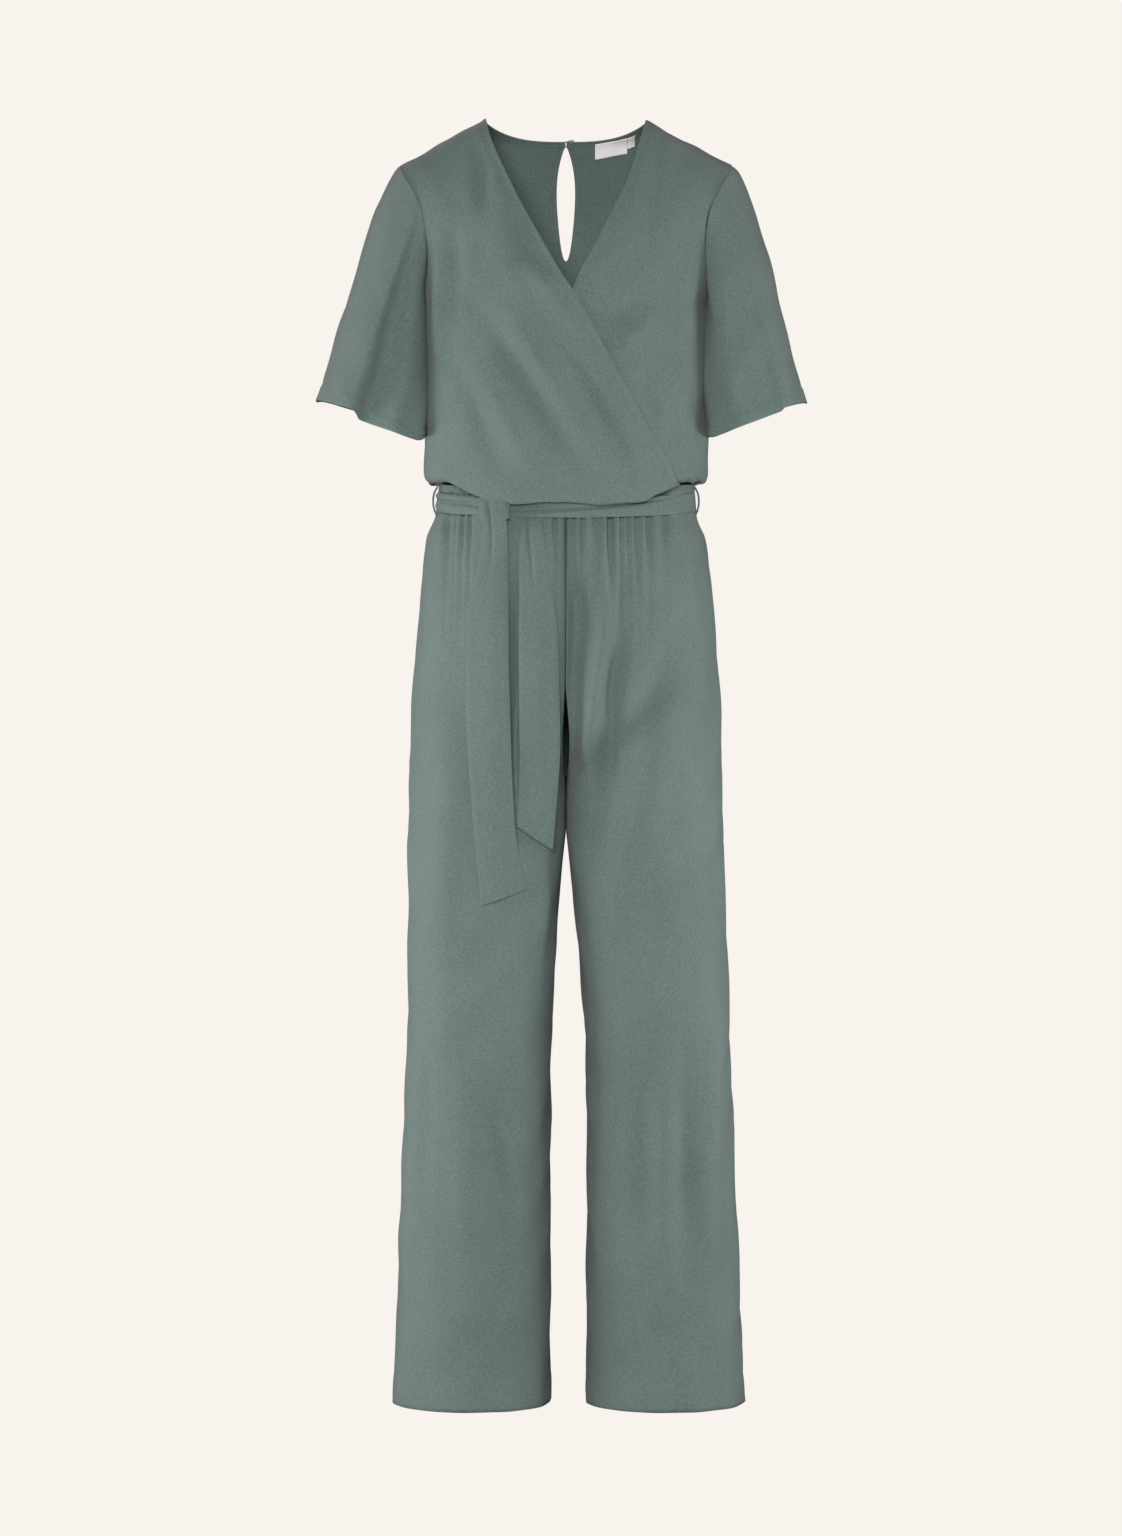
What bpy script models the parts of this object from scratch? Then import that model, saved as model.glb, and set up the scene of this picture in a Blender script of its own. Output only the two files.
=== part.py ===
"""A wrap-front jersey jumpsuit: bodice, set-in sleeves, two straight legs and a tie belt.

Heights are given as a drop below the neck points. X is across, with the wearer's right at minus X,
the front faces minus Y, and the origin lies midway between the two neck points.
"""

import math

import bmesh
import bpy
from mathutils import Matrix, Vector

# Cloth
WALL = 0.0012  # one layer of jersey
BAND_WALL = 0.0018  # a folded edge band
BELT_WALL = 0.0024  # the belt, which is a flat tube
GAP = 0.0003  # left open at every seam
LAYER = 0.0005  # left between cloths that lie on each other
SLACK = 0.0015  # left where one of them is drawn round a curve

# Shoulders and neck
NECK_HALF = 0.088
SHOULDER_SLOPE = 0.53
SLOPE_ENDS = 0.16  # below this the rows of the bodice are level
NECK_DROP = 0.0145
NECK_BAND = 0.005

# Bodice, as (drop, size)
BODICE_END = 0.385  # where the blousing starts to roll under
BODICE_HALF = (
    (0, 0.182), (0.012, 0.179), (0.05, 0.167), (0.107, 0.154), (0.15, 0.151), (0.208, 0.155), (0.34, 0.156),
)  # fmt: skip
FRONT_DEPTH = (
    (0, 0), (0.004, 0.028), (0.015, 0.052), (0.04, 0.072), (0.087, 0.094),
    (0.14, 0.112), (0.2, 0.124), (0.26, 0.124), (0.34, 0.119), (0.4, 0.116),
)  # fmt: skip
BACK_DEPTH = (
    (0, 0), (0.004, 0.03), (0.0145, 0.055), (0.03, 0.066), (0.06, 0.082),
    (0.1, 0.098), (0.15, 0.108), (0.22, 0.106), (0.3, 0.1), (0.4, 0.1),
)  # fmt: skip
BODICE_ROUND = 0.8  # below 1 the section is squarer than an ellipse
ROW_POWER = 2.118  # brings the rows closer together towards the shoulder
ROLL_STARTS = 0.8  # the share of the rows above the roll
WRAP_EDGE = (
    (0, -0.088), (0.0245, -0.0825), (0.072, -0.0633), (0.14, -0.028), (0.184, -0.004),
    (0.2, 0.0068), (0.282, 0.0534), (0.361, 0.0978), (0.404, 0.1264),
)  # fmt: skip
UNDER_EDGE = (
    (0, 0.088), (0.024, 0.0818), (0.072, 0.0677), (0.117, 0.0472), (0.162, 0.025), (0.185, 0.0122),
    (0.2, 0.0068), (0.283, -0.0535), (0.363, -0.0973), (0.403, -0.127),
)  # fmt: skip
UNDER_INSET = WALL + 2 * SLACK  # how far inside the right front the left front lies
UNDER_MORE = 1.4 * SLACK  # and how much further in it lies at the waist
UNDER_MORE_DROPS = (0.27, 0.33)  # where that sets in and is complete
UNDER_FADES = (0.06, 0.14)  # shares of a row: where the inset starts past the wrap edge, and its slope

# Opening at the back neck
KEYHOLE_TOP = 0.0198
KEYHOLE_END = 0.141
KEYHOLE_HALF = 0.01
KEYHOLE_SLIT = 0.0005
KEYHOLE_WIDEST = 0.777  # 1 puts the widest place halfway down, and less puts it higher
KEYHOLE_SPREAD = 0.07  # how fast the middle columns spread below it
KEYHOLE_ROWS = 0.625  # the share of the rows above the roll that the opening takes up
CENTRE_BAND = 0.05  # half the share of the columns that the opening takes up
EDGE_ROUNDS = 6  # enough for the start of a column to settle on the neck edge
PANEL_MARGIN = NECK_BAND + 0.0013  # from the neck edge and the opening to the back itself

# Armhole and sleeve
ARMHOLE_DROP = 0.208
ARMHOLE_DEPTH = 0.068
ARMHOLE_GAP = 0.0006
SLEEVE_HEM = {-1: Vector((0.2165, 0.004, -0.3305)), 1: Vector((0.211, 0.004, -0.3315))}  # its middle
SLEEVE_HEM_ACROSS = {-1: Vector((0.0585, 0, 0.0215)), 1: Vector((0.053, 0, 0.0205))}
SLEEVE_FORWARD = Vector((-0.0035, -0.045, 0))  # how far the inner end of the hem swings to the front
SLEEVE_CLEARS = 0.002  # and how far the cloth above it stays out from the bodice
SLEEVE_HEM_DEPTH = 0.08
SLEEVE_BACK_RISE = 0.012  # how much higher the hem hangs at the back of the arm
SLEEVE_CAP = Vector((0.085, 0, -0.045))
SLEEVE_INNER = 0.8  # how far round from under the arm the inner side reaches, in radians
SLEEVE_RIDGES = ((2.1, 0.3, 0.07), (1.45, 0.35, -0.049))  # as (turn, reach, share of the width)
SLEEVE_ARRIVES = 0.95  # how straight the cloth runs into the hem

# Waist and blousing
WAIST_DROP = 0.4005
WAIST_DIP = 0.0095  # how much lower the waist seam is at the centre front
WAIST_DIP_FADES = 0.12  # the drop over which the rows of the legs become level again
BLOUSE_SIDE = 0.397
BLOUSE_FRONT = 0.0366
BLOUSE_BACK = 0.004
BLOUSE_COSINES = (0.45, 0.95)  # where the extra drop sets in, from the side, and is complete
ROLL_RISE = 0.016
ROLL_TUCK = 0.3  # how far in the roll turns under, as a share of the way to the waist seam
ROLL_ENDS = 0.0025  # how far above the waist seam of the trousers the roll ends

# Legs, as (drop, size)
HIP_HALF = (
    (0.4, 0.1372), (0.433, 0.1392), (0.461, 0.1495), (0.505, 0.1575), (0.571, 0.1645),
    (0.637, 0.169), (0.75, 0.1725), (0.86, 0.1745), (0.97, 0.176), (1.08, 0.1805), (1.407, 0.193),
)  # fmt: skip
LEG_INNER = ((0.782, 0.0), (0.813, 0.0035), (0.857, 0.008), (0.95, 0.015), (1.04, 0.0195), (1.407, 0.02))
LEG_FRONT = (
    (0.4, 0.0965), (0.433, 0.098), (0.461, 0.107), (0.53, 0.118), (0.62, 0.122),
    (0.72, 0.118), (0.85, 0.104), (1.05, 0.094), (1.407, 0.092),
)  # fmt: skip
LEG_BACK = (
    (0.4, 0.0935), (0.433, 0.096), (0.461, 0.108), (0.53, 0.126), (0.6, 0.134),
    (0.7, 0.13), (0.8, 0.112), (1.0, 0.096), (1.407, 0.092),
)  # fmt: skip
LEG_ROUND = 0.85
LEG_SWING = 0.003  # both legs hang a little towards the wearer's left
CROTCH = 0.722
FRONT_RISE = 0.6  # where the centre front seam starts to turn under
BACK_RISE = 0.56
HEM = 1.407
LEG_ROWS = (
    (0, 0.4005), (0.1, 0.433), (0.2, 0.478), (0.3, 0.55), (0.4, 0.65), (0.45, 0.695), (0.5, CROTCH), (1, HEM),
)  # fmt: skip

# Belt
BELT_TOP = 0.0085  # below the waist seam
BELT_BOTTOM = 0.03
BELT_DIP = 0.004  # how much lower the belt lies at the centre front
BELT_ENDS = ((-89.8, -34), (-30, 89.8), (90.2, 269.8))  # degrees round from the centre front
KNOT_X = -0.0725
KNOT_DROP = 0.4355
KNOT_WIDTH = 0.03
KNOT_HEIGHT = 0.019
KNOT_OUT = (0.0104, 0.0118)  # off the trousers, at its top and at its bottom
KNOT_BULGE = 0.004
KNOT_NIPS = 0.12  # how much narrower it is at the middle of its height
LONG_LEFT = (
    (0.425, -0.083), (0.455, -0.085), (0.553, -0.107), (0.64, -0.107), (0.746, -0.101), (0.861, -0.091),
)  # fmt: skip
LONG_RIGHT = ((0.425, -0.0615), (0.5, -0.061), (0.69, -0.059), (0.778, -0.0547), (0.843, -0.044))
SHORT_LEFT = ((0.432, -0.0595), (0.447, -0.0494), (0.57, -0.0503), (0.69, -0.0503), (0.775, -0.0536))
SHORT_RIGHT = ((0.432, -0.046), (0.447, -0.026), (0.575, -0.0086), (0.682, -0.0064), (0.8, -0.014))
TAIL_LIFT = ((0.425, 0.0072), (0.452, 0.0066), (0.49, 0.0046), (0.86, 0.0042))
TAIL_BRIDGES = 0.045  # nearer the centre than this, an end hangs clear of the hollow between the legs

# Trim
THREAD_LOOP = 0.001  # radius
LABEL_SIZE = (0.036, 0.016)
LABEL_START = 0.0325
SIZE_LABEL = (0.008, 0.011)
LABEL_BELOW = 0.0018  # under the neck edge
SIZE_LABEL_BELOW = 0.0022
LABELS_APART = 0.0004
LABEL_WALL = 0.0006
BUTTON_RADIUS = 0.0045
BUTTON_THICK = 0.0022
BUTTON_X = 0.006
BUTTON_DROP = 0.0175
BUTTON_LOOP = ((-0.004, 0.016), (0.003, 0.0152), (0.0085, 0.0175), (0.003, 0.0198), (-0.004, 0.0188))
LOOP_PATH = ((0.1415, 0.4028), (0.1448, 0.409), (0.1462, 0.4185), (0.145, 0.4275), (0.1422, 0.4345))

# Main folds, as (x, drop) to (x, drop), then half-width and height, on the front of the garment
BODICE_FOLDS = (
    ((-0.067, 0.255), (0.016, 0.392), 0.022, -0.004),
    ((-0.03, 0.23), (0.055, 0.372), 0.022, 0.0035),
    ((0.075, 0.22), (0.035, 0.28), 0.018, -0.003),
)
LEG_FOLDS = (
    ((0.066, 0.5), (0.045, 0.69), 0.02, -0.004),
    ((0.11, 0.6), (0.085, 0.92), 0.026, 0.004),
    ((-0.08, 1.1), (-0.07, 1.36), 0.028, -0.006),
    ((0.088, 1.05), (0.09, 1.3), 0.024, -0.005),
    ((-0.13, 0.62), (-0.14, 0.95), 0.026, 0.004),
)

STEP = 1e-5  # for measuring a slope
MATT = 0.85
POLISHED = 0.4
GREEN = (0.141, 0.192, 0.172, 1)
DARK_GREEN = (0.1, 0.142, 0.127, 1)
WHITE = (0.78, 0.78, 0.76, 1)
SHELL = (0.3, 0.36, 0.33, 1)


def smooth(knots, place):
    """The value at a place, on a curve through every knot (place, value) that never overshoots."""
    if place <= knots[0][0]:
        return knots[0][1]
    if place >= knots[-1][0]:
        return knots[-1][1]
    rises = [(b[1] - a[1]) / (b[0] - a[0]) for a, b in zip(knots, knots[1:])]
    index = next(i for i in range(len(rises)) if place <= knots[i + 1][0])

    def slope(knot):
        if knot in (0, len(rises)):
            return rises[min(knot, len(rises) - 1)]
        before, after = rises[knot - 1], rises[knot]
        return 0 if before * after <= 0 else 2 * before * after / (before + after)

    start, end = knots[index], knots[index + 1]
    span = end[0] - start[0]
    t = (place - start[0]) / span
    curve = (2 * t**3 - 3 * t**2 + 1) * start[1] + (3 * t**2 - 2 * t**3) * end[1]
    return curve + span * ((t**3 - 2 * t**2 + t) * slope(index) + (t**3 - t**2) * slope(index + 1))


def ease(value):
    value = min(max(value, 0), 1)
    return value * value * (3 - 2 * value)


def between(value, limits):
    """From 0 at the first limit to 1 at the second."""
    return ease((value - limits[0]) / (limits[1] - limits[0]))


def power(value, exponent):
    return math.copysign(abs(value) ** exponent, value)


def fold_height(folds, x, drop):
    """How far the folds push the cloth out at a place on the front."""
    total = 0
    for (x0, drop0), (x1, drop1), width, height in folds:
        run = Vector((x1 - x0, drop1 - drop0))
        place = Vector((x - x0, drop - drop0))
        share = place.dot(run) / run.length_squared
        aside = (place - run * share).length
        total += height * math.exp(-((aside / width) ** 2)) * ease(share * 4) * ease((1 - share) * 4)
    return total


# The bodice -----------------------------------------------------------------


def bodice_depth(drop, front):
    knots = FRONT_DEPTH if front else BACK_DEPTH
    rooted = [(math.sqrt(place), depth) for place, depth in knots]
    return smooth(rooted, math.sqrt(max(drop, 0)))


def armhole_depth(drop):
    """Half the width of the armhole, seen from the side."""
    share = 2 * min(max(drop, 1e-7), ARMHOLE_DROP) / ARMHOLE_DROP - 1
    return ARMHOLE_DEPTH * math.sqrt(max(1 - share * share, 0))


def bodice_edge_sine(drop, front):
    """The sine of the angle at which a row of the bodice ends, 1 at the side seam."""
    drop = max(drop, 1e-7)
    share = armhole_depth(drop) / bodice_depth(drop, front)
    return math.sqrt(1 - share ** (2 / BODICE_ROUND))


def bodice_at(x, drop, front):
    """The point of the bodice at a place across it and a drop below the shoulder line."""
    sine = x * bodice_edge_sine(drop, front) / smooth(BODICE_HALF, drop)
    cosine = math.sqrt(max(1 - sine * sine, 0))
    depth = bodice_depth(drop, front) * cosine**BODICE_ROUND + GAP / 2
    past_neck = abs(x) - NECK_HALF
    slope = SHOULDER_SLOPE * (past_neck + math.sqrt(past_neck**2 + 1e-5)) / 2
    height = -drop - slope * (1 - ease(drop / SLOPE_ENDS))
    if front:
        depth += fold_height(BODICE_FOLDS, x, drop)
    return Vector((x, -depth if front else depth, height))


def edge_x(drop, front, share):
    """Where a row is, from minus 1 at the right edge to 1 at the left."""
    angle = math.asin(min(bodice_edge_sine(drop, front), 1))
    return smooth(BODICE_HALF, drop) * math.sin(share * angle) / math.sin(angle)


def share_of(x, drop, front):
    """The share of a row at which the bodice passes a place across it."""
    sine = bodice_edge_sine(drop, front)
    return math.asin(max(-1, min(1, x * sine / smooth(BODICE_HALF, drop)))) / math.asin(sine)


def blouse_drop(cosine, front):
    """How low the roll of cloth over the belt hangs."""
    return BLOUSE_SIDE + (BLOUSE_FRONT if front else BLOUSE_BACK) * between(cosine, BLOUSE_COSINES)


def waist_drop(cosine):
    """How low the waist seam is, lowest at the centre front."""
    return WAIST_DROP + WAIST_DIP * max(cosine, 0) ** 1.2


def bodice_rolled(share, turn, front):
    """A point of the roll over the belt, with turn from 0 above it to 1 at the waist seam."""
    angle = share * math.pi / 2
    cosine = math.cos(angle)
    last = bodice_at(edge_x(BODICE_END, front, share), BODICE_END, front)
    low = blouse_drop(cosine, front)
    seam = waist_drop(cosine if front else 0)
    seam_half, seam_depth = smooth(HIP_HALF, 0.4), smooth(LEG_FRONT if front else LEG_BACK, 0.4)
    sign = -1 if front else 1
    seam_y = seam_depth * cosine**LEG_ROUND + GAP / 2
    end = Vector((seam_half * math.sin(angle), sign * seam_y, ROLL_ENDS - seam))
    below = Vector((last.x, last.y, -ROLL_RISE / 4 - low))
    tucked = last.lerp(end, ROLL_TUCK)
    tucked.z = -ROLL_RISE / 4 - low
    rest = 1 - turn
    return last * rest**3 + below * 3 * rest**2 * turn + tucked * 3 * rest * turn**2 + end * turn**3


def bodice_row(share, v, front):
    if v <= ROLL_STARTS:
        drop = BODICE_END * (v / ROLL_STARTS) ** ROW_POWER
        return bodice_at(edge_x(drop, front, share), drop, front)
    return bodice_rolled(share, (v - ROLL_STARTS) / (1 - ROLL_STARTS), front)


def row_drop(v):
    return BODICE_END * (min(v, ROLL_STARTS) / ROLL_STARTS) ** ROW_POWER


def right_front(u, v):
    drop = row_drop(v)
    edge = share_of(smooth(WRAP_EDGE, drop), drop, True)
    return bodice_row(-1 + u * (1 + edge), v, True)


def left_front(u, v):
    drop = row_drop(v)
    edge = share_of(smooth(UNDER_EDGE, drop), drop, True)
    return bodice_row(edge + u * (1 - edge), v, True)


def left_front_inset(u, v):
    """How far the left front lies inside, which it does wherever the right front covers it."""
    drop = row_drop(v)
    edge = share_of(smooth(UNDER_EDGE, drop), drop, True)
    cover = share_of(smooth(WRAP_EDGE, drop), drop, True)
    share = edge + u * (1 - edge)
    inset = UNDER_INSET + UNDER_MORE * between(drop, UNDER_MORE_DROPS)
    return inset * ease((cover + sum(UNDER_FADES) - share) / UNDER_FADES[1])


def neck_edge(x, margin):
    """The drop of the back neck edge, moved outwards by a margin."""
    half = NECK_HALF + margin
    return (NECK_DROP + margin) * (1 - min(abs(x) / half, 1) ** 3)


def keyhole_half(share, margin):
    """Half the width of the back opening at a share of its height, moved outwards by a margin."""
    wave = max(math.sin(math.pi * min(share, 1) ** KEYHOLE_WIDEST), 0)
    leaf = KEYHOLE_HALF * wave ** (1 - ease(share) / 2)
    return leaf + margin * math.sqrt(1 - share**8) + KEYHOLE_SLIT * (1 - share)


def back_share(u, drop):
    """Where a column of the back is on its row: the middle columns keep clear of the opening."""
    last = KEYHOLE_END + PANEL_MARGIN
    inside = min(max((drop - KEYHOLE_TOP) / (last - KEYHOLE_TOP), 0), 1)
    half = max(keyhole_half(inside, PANEL_MARGIN), PANEL_MARGIN / 10) + max(drop - last, 0) * KEYHOLE_SPREAD
    centre = share_of(half, drop, False)
    aside = abs(u - 0.5)
    if aside <= CENTRE_BAND:
        share = centre * aside / CENTRE_BAND
    else:
        share = centre + (1 - centre) * (aside - CENTRE_BAND) / (0.5 - CENTRE_BAND)
    return math.copysign(share, u - 0.5)


def back_bodice(u, v):
    if v > ROLL_STARTS:
        return bodice_rolled(back_share(u, BODICE_END), (v - ROLL_STARTS) / (1 - ROLL_STARTS), False)
    start = 0
    for _ in range(EDGE_ROUNDS):
        drop = start + (BODICE_END - start) * (v / ROLL_STARTS) ** ROW_POWER
        top_x = edge_x(start, False, back_share(u, start))
        start = neck_edge(top_x, PANEL_MARGIN)
    return bodice_at(edge_x(drop, False, back_share(u, drop)), drop, False)


def neck_binding(side):
    def surface(u, v):
        margin = v * NECK_BAND
        x = KEYHOLE_SLIT + u * (NECK_HALF + margin - KEYHOLE_SLIT)
        return bodice_at(side * x, neck_edge(x, margin), False)

    return surface


def keyhole_binding(u, v):
    margin = v * NECK_BAND
    share = 2 * min(u, 1 - u)
    drop = KEYHOLE_TOP + (KEYHOLE_END + margin - KEYHOLE_TOP) * share
    return bodice_at(math.copysign(keyhole_half(share, margin), u - 0.5), drop, False)


# The sleeves ----------------------------------------------------------------


def sleeve(side):
    def surface(u, v):
        turn = 2 * math.pi * u
        front = u < 0.5
        drop = ARMHOLE_DROP * (1 + math.cos(turn)) / 2
        armhole = bodice_at(smooth(BODICE_HALF, drop), drop, front)
        armhole.x += ARMHOLE_GAP
        reach = 1
        for at, width, share in SLEEVE_RIDGES:
            reach += share * math.exp(-(((turn - at) / width) ** 2))
        hem = SLEEVE_HEM[side] - SLEEVE_HEM_ACROSS[side] * math.cos(turn) * reach
        hem.y -= SLEEVE_HEM_DEPTH * math.sin(turn) * reach
        hem.z += SLEEVE_BACK_RISE * max(-math.sin(turn), 0)
        inner = math.exp(-((math.remainder(turn, 2 * math.pi) / SLEEVE_INNER) ** 2))
        hem += SLEEVE_FORWARD * inner
        top = max(-math.cos(turn), 0) ** 1.5
        leave = SLEEVE_CAP * top + (hem - armhole) * (1 - top)
        arrive = (hem - armhole) * SLEEVE_ARRIVES
        point = armhole * (2 * v**3 - 3 * v**2 + 1) + hem * (3 * v**2 - 2 * v**3)
        point += leave * (v**3 - 2 * v**2 + v) + arrive * (v**3 - v**2)
        point.x += SLEEVE_CLEARS * inner * math.sin(math.pi * v)
        return Vector((side * point.x, point.y, point.z))

    return surface


# The legs -------------------------------------------------------------------


def leg_section(drop, side, front):
    """Centre, half-width, depth and the angle at which the section ends, for one leg."""
    swing = side * LEG_SWING * ease((drop - 0.78) / 0.25)
    outer = smooth(HIP_HALF, drop) + swing
    inner = GAP / 2 + smooth(LEG_INNER, drop) + swing * ease((drop - 0.8) / 0.1)
    rise = FRONT_RISE if front else BACK_RISE
    end_sine = min(max((drop - rise) / (CROTCH - rise), 0), 1)
    half = (outer - inner) / (1 + end_sine)
    depth = smooth(LEG_FRONT if front else LEG_BACK, drop)
    return outer - half, half, depth, end_sine


def leg_point(sine, cosine, drop, side, front):
    centre, half, depth, _ = leg_section(drop, side, front)
    x = side * (centre + half * sine)
    away = depth * power(cosine, LEG_ROUND) + GAP / 2
    if front:
        away += fold_height(LEG_FOLDS, x, drop) * max(cosine, 0) ** 0.5
    return Vector((x, -away if front else away, -drop))


def leg_panel(side, front):
    """A leg panel, from the side seam to the centre or inside leg, and from the waist to the hem."""

    def surface(u, v):
        level = smooth(LEG_ROWS, v)
        end_sine = leg_section(level, side, front)[3]
        angle = math.pi / 2 - u * (math.pi / 2 + math.asin(end_sine))
        cosine = max(math.cos(angle), 0)
        dip = waist_drop(cosine if front else 0) - WAIST_DROP
        drop = level + dip * (1 - ease((level - WAIST_DROP) / WAIST_DIP_FADES))
        return leg_point(math.sin(angle), cosine, drop, side, front)

    return surface


def waist_at(angle, drop):
    """A point of the trousers above the hips, with the angle from the centre front towards the left."""
    front = abs(angle) < math.pi / 2
    side = math.copysign(1, math.sin(angle))
    return leg_point(abs(math.sin(angle)), abs(math.cos(angle)), drop, side, front)


def front_at(x, drop):
    """The front of the trousers at a place across them."""
    side = math.copysign(1, x)
    centre, half, _, _ = leg_section(drop, side, True)
    sine = (abs(x) - centre) / half
    return leg_point(sine, math.sqrt(max(1 - sine * sine, 0)), drop, side, True)


# The belt -------------------------------------------------------------------


def belt_stretch(first, last):
    """A stretch of the belt, between two angles from the centre front."""

    def surface(u, v):
        angle = math.radians(first + (last - first) * u)
        cosine = math.cos(angle)
        seam = waist_drop(cosine)
        return waist_at(angle, seam + BELT_TOP + (BELT_BOTTOM - BELT_TOP) * v + BELT_DIP * max(cosine, 0))

    return surface


def belt_tail(left, right):
    """A hanging end of the belt, between its two edges."""

    def surface(u, v):
        top = left[0][0]
        drop_left = top + (left[-1][0] - top) * v
        drop_right = top + (right[-1][0] - top) * v
        drop = drop_left + (drop_right - drop_left) * u
        x = smooth(left, drop_left) * (1 - u) + smooth(right, drop_right) * u
        point = front_at(x, drop)
        point.y = min(point.y, front_at(min(x, -TAIL_BRIDGES), drop).y)
        return point

    return surface


def tail_lift(left, right):
    def lift(u, v):
        top = left[0][0]
        drop = top + ((left[-1][0] + right[-1][0]) / 2 - top) * v
        return smooth(TAIL_LIFT, drop)

    return lift


def knot_strip(u, v):
    """The turn of the belt that goes over both ends."""
    x = KNOT_X + KNOT_WIDTH * (u - 0.5) * (1 - KNOT_NIPS * math.cos(math.pi * (v - 0.5)))
    angle = math.pi * (v - 0.5)
    point = front_at(x, KNOT_DROP + KNOT_HEIGHT / 2 * math.sin(angle))
    out = KNOT_OUT[0] + (KNOT_OUT[1] - KNOT_OUT[0]) * v + KNOT_BULGE * math.cos(angle)
    return point + Vector((0, -out, 0))


# Trim -----------------------------------------------------------------------


def label(first, size, gap_below):
    """A blank label inside the back neck, its top edge straight and just below the neck edge."""

    def surface(u, v):
        ends = neck_edge(first, 0), neck_edge(first + size[0], 0)
        drop = ends[0] + (ends[1] - ends[0]) * u + gap_below + size[1] * v
        return bodice_at(first + size[0] * u, drop, False)

    return surface


def back_place(x, drop, height):
    """A point above the outside of the back."""
    across = bodice_at(x + STEP, drop, False) - bodice_at(x - STEP, drop, False)
    down = bodice_at(x, drop + STEP, False) - bodice_at(x, drop - STEP, False)
    out = across.cross(down).normalized()
    return bodice_at(x, drop, False) + out * height, out


# Making the solids ----------------------------------------------------------


def normal_at(surface, u, v, around):
    """The way square to a surface, measured over a very short step that stays on it."""
    if around:
        across = surface((u + STEP) % 1, v) - surface((u - STEP) % 1, v)
    else:
        across = surface(min(u + STEP, 1), v) - surface(max(u - STEP, 0), v)
    down = surface(u, min(v + STEP, 1)) - surface(u, max(v - STEP, 0))
    return across.normalized().cross(down.normalized()).normalized()


def material(name, colour):
    made = bpy.data.materials.new(name)
    made.use_nodes = True
    shader = made.node_tree.nodes["Principled BSDF"]
    shader.inputs["Base Color"].default_value = colour
    shader.inputs["Roughness"].default_value = POLISHED if colour == SHELL else MATT
    shader.inputs["Metallic"].default_value = 0
    return made


def finish(name, data, colour):
    data.materials.append(material(name, colour))
    bpy.context.scene.collection.objects.link(bpy.data.objects.new(name, data))


def finish_shape(name, shape, colour):
    bmesh.ops.recalc_face_normals(shape, faces=shape.faces)
    if shape.calc_volume(signed=True) < 0:
        bmesh.ops.reverse_faces(shape, faces=shape.faces)
    mesh = bpy.data.meshes.new(name)
    shape.to_mesh(mesh)
    shape.free()
    finish(name, mesh, colour)


def cloth(name, surface, grid, flip, wall=WALL, lift=None, colour=GREEN, hole=None, around=False):
    """A piece of cloth: a flat slab bent onto a surface, its outer face on it and its wall inside."""
    shape = bmesh.new()
    bmesh.ops.create_grid(shape, x_segments=grid[0], y_segments=grid[1], size=0.5)
    bmesh.ops.translate(shape, verts=shape.verts, vec=(0.5, 0.5, 0))
    if hole:
        inside = [face for face in shape.faces if hole(*face.calc_center_median().xy)]
        bmesh.ops.delete(shape, geom=inside, context="FACES")
    outer = bmesh.ops.extrude_face_region(shape, geom=shape.faces[:])["geom"]
    for vert in outer:
        if isinstance(vert, bmesh.types.BMVert):
            vert.co.z = 1
    if around:
        ends = [face for face in shape.faces if abs(face.calc_center_median().x - 0.5) > 0.4999]
        bmesh.ops.delete(shape, geom=ends, context="FACES_ONLY")
    sign = -1 if flip else 1
    for vert in shape.verts:
        u, v, outward = vert.co
        if around:
            u %= 1
        height = (lift(u, v) if lift else 0) - wall * (1 - outward)
        vert.co = surface(u, v) + normal_at(surface, u, v, around) * sign * height
    if around:
        bmesh.ops.remove_doubles(shape, verts=shape.verts, dist=1e-6)
    finish_shape(name, shape, colour)


def thread(name, points, radius, colour):
    """A round thread along a smooth path."""
    curve = bpy.data.curves.new(name, "CURVE")
    curve.dimensions = "3D"
    curve.bevel_depth = radius
    curve.bevel_resolution = 1
    curve.resolution_u = 2
    curve.use_fill_caps = True
    spline = curve.splines.new("BEZIER")
    spline.bezier_points.add(len(points) - 1)
    for knot, point in zip(spline.bezier_points, points):
        knot.co = point
        knot.handle_left_type = "AUTO"
        knot.handle_right_type = "AUTO"
    finish(name, curve, colour)


def button(name, x, drop, height):
    """A flat round button, held just off the outside of the back."""
    centre, out = back_place(x, drop, height + BUTTON_THICK / 2)
    shape = bmesh.new()
    bmesh.ops.create_cone(
        shape, cap_ends=True, segments=16, radius1=BUTTON_RADIUS, radius2=BUTTON_RADIUS,
        depth=BUTTON_THICK,
    )  # fmt: skip
    rims = [edge for edge in shape.edges if abs(edge.verts[0].co.z - edge.verts[1].co.z) < 1e-9]
    bmesh.ops.bevel(
        shape, geom=rims, offset=BUTTON_THICK / 4, segments=1, affect="EDGES", profile=0.5, material=-1,
    )  # fmt: skip
    turn = out.to_track_quat("Z", "Y").to_matrix().to_4x4()
    bmesh.ops.transform(shape, matrix=Matrix.Translation(centre) @ turn, verts=shape.verts)
    finish_shape(name, shape, SHELL)


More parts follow.
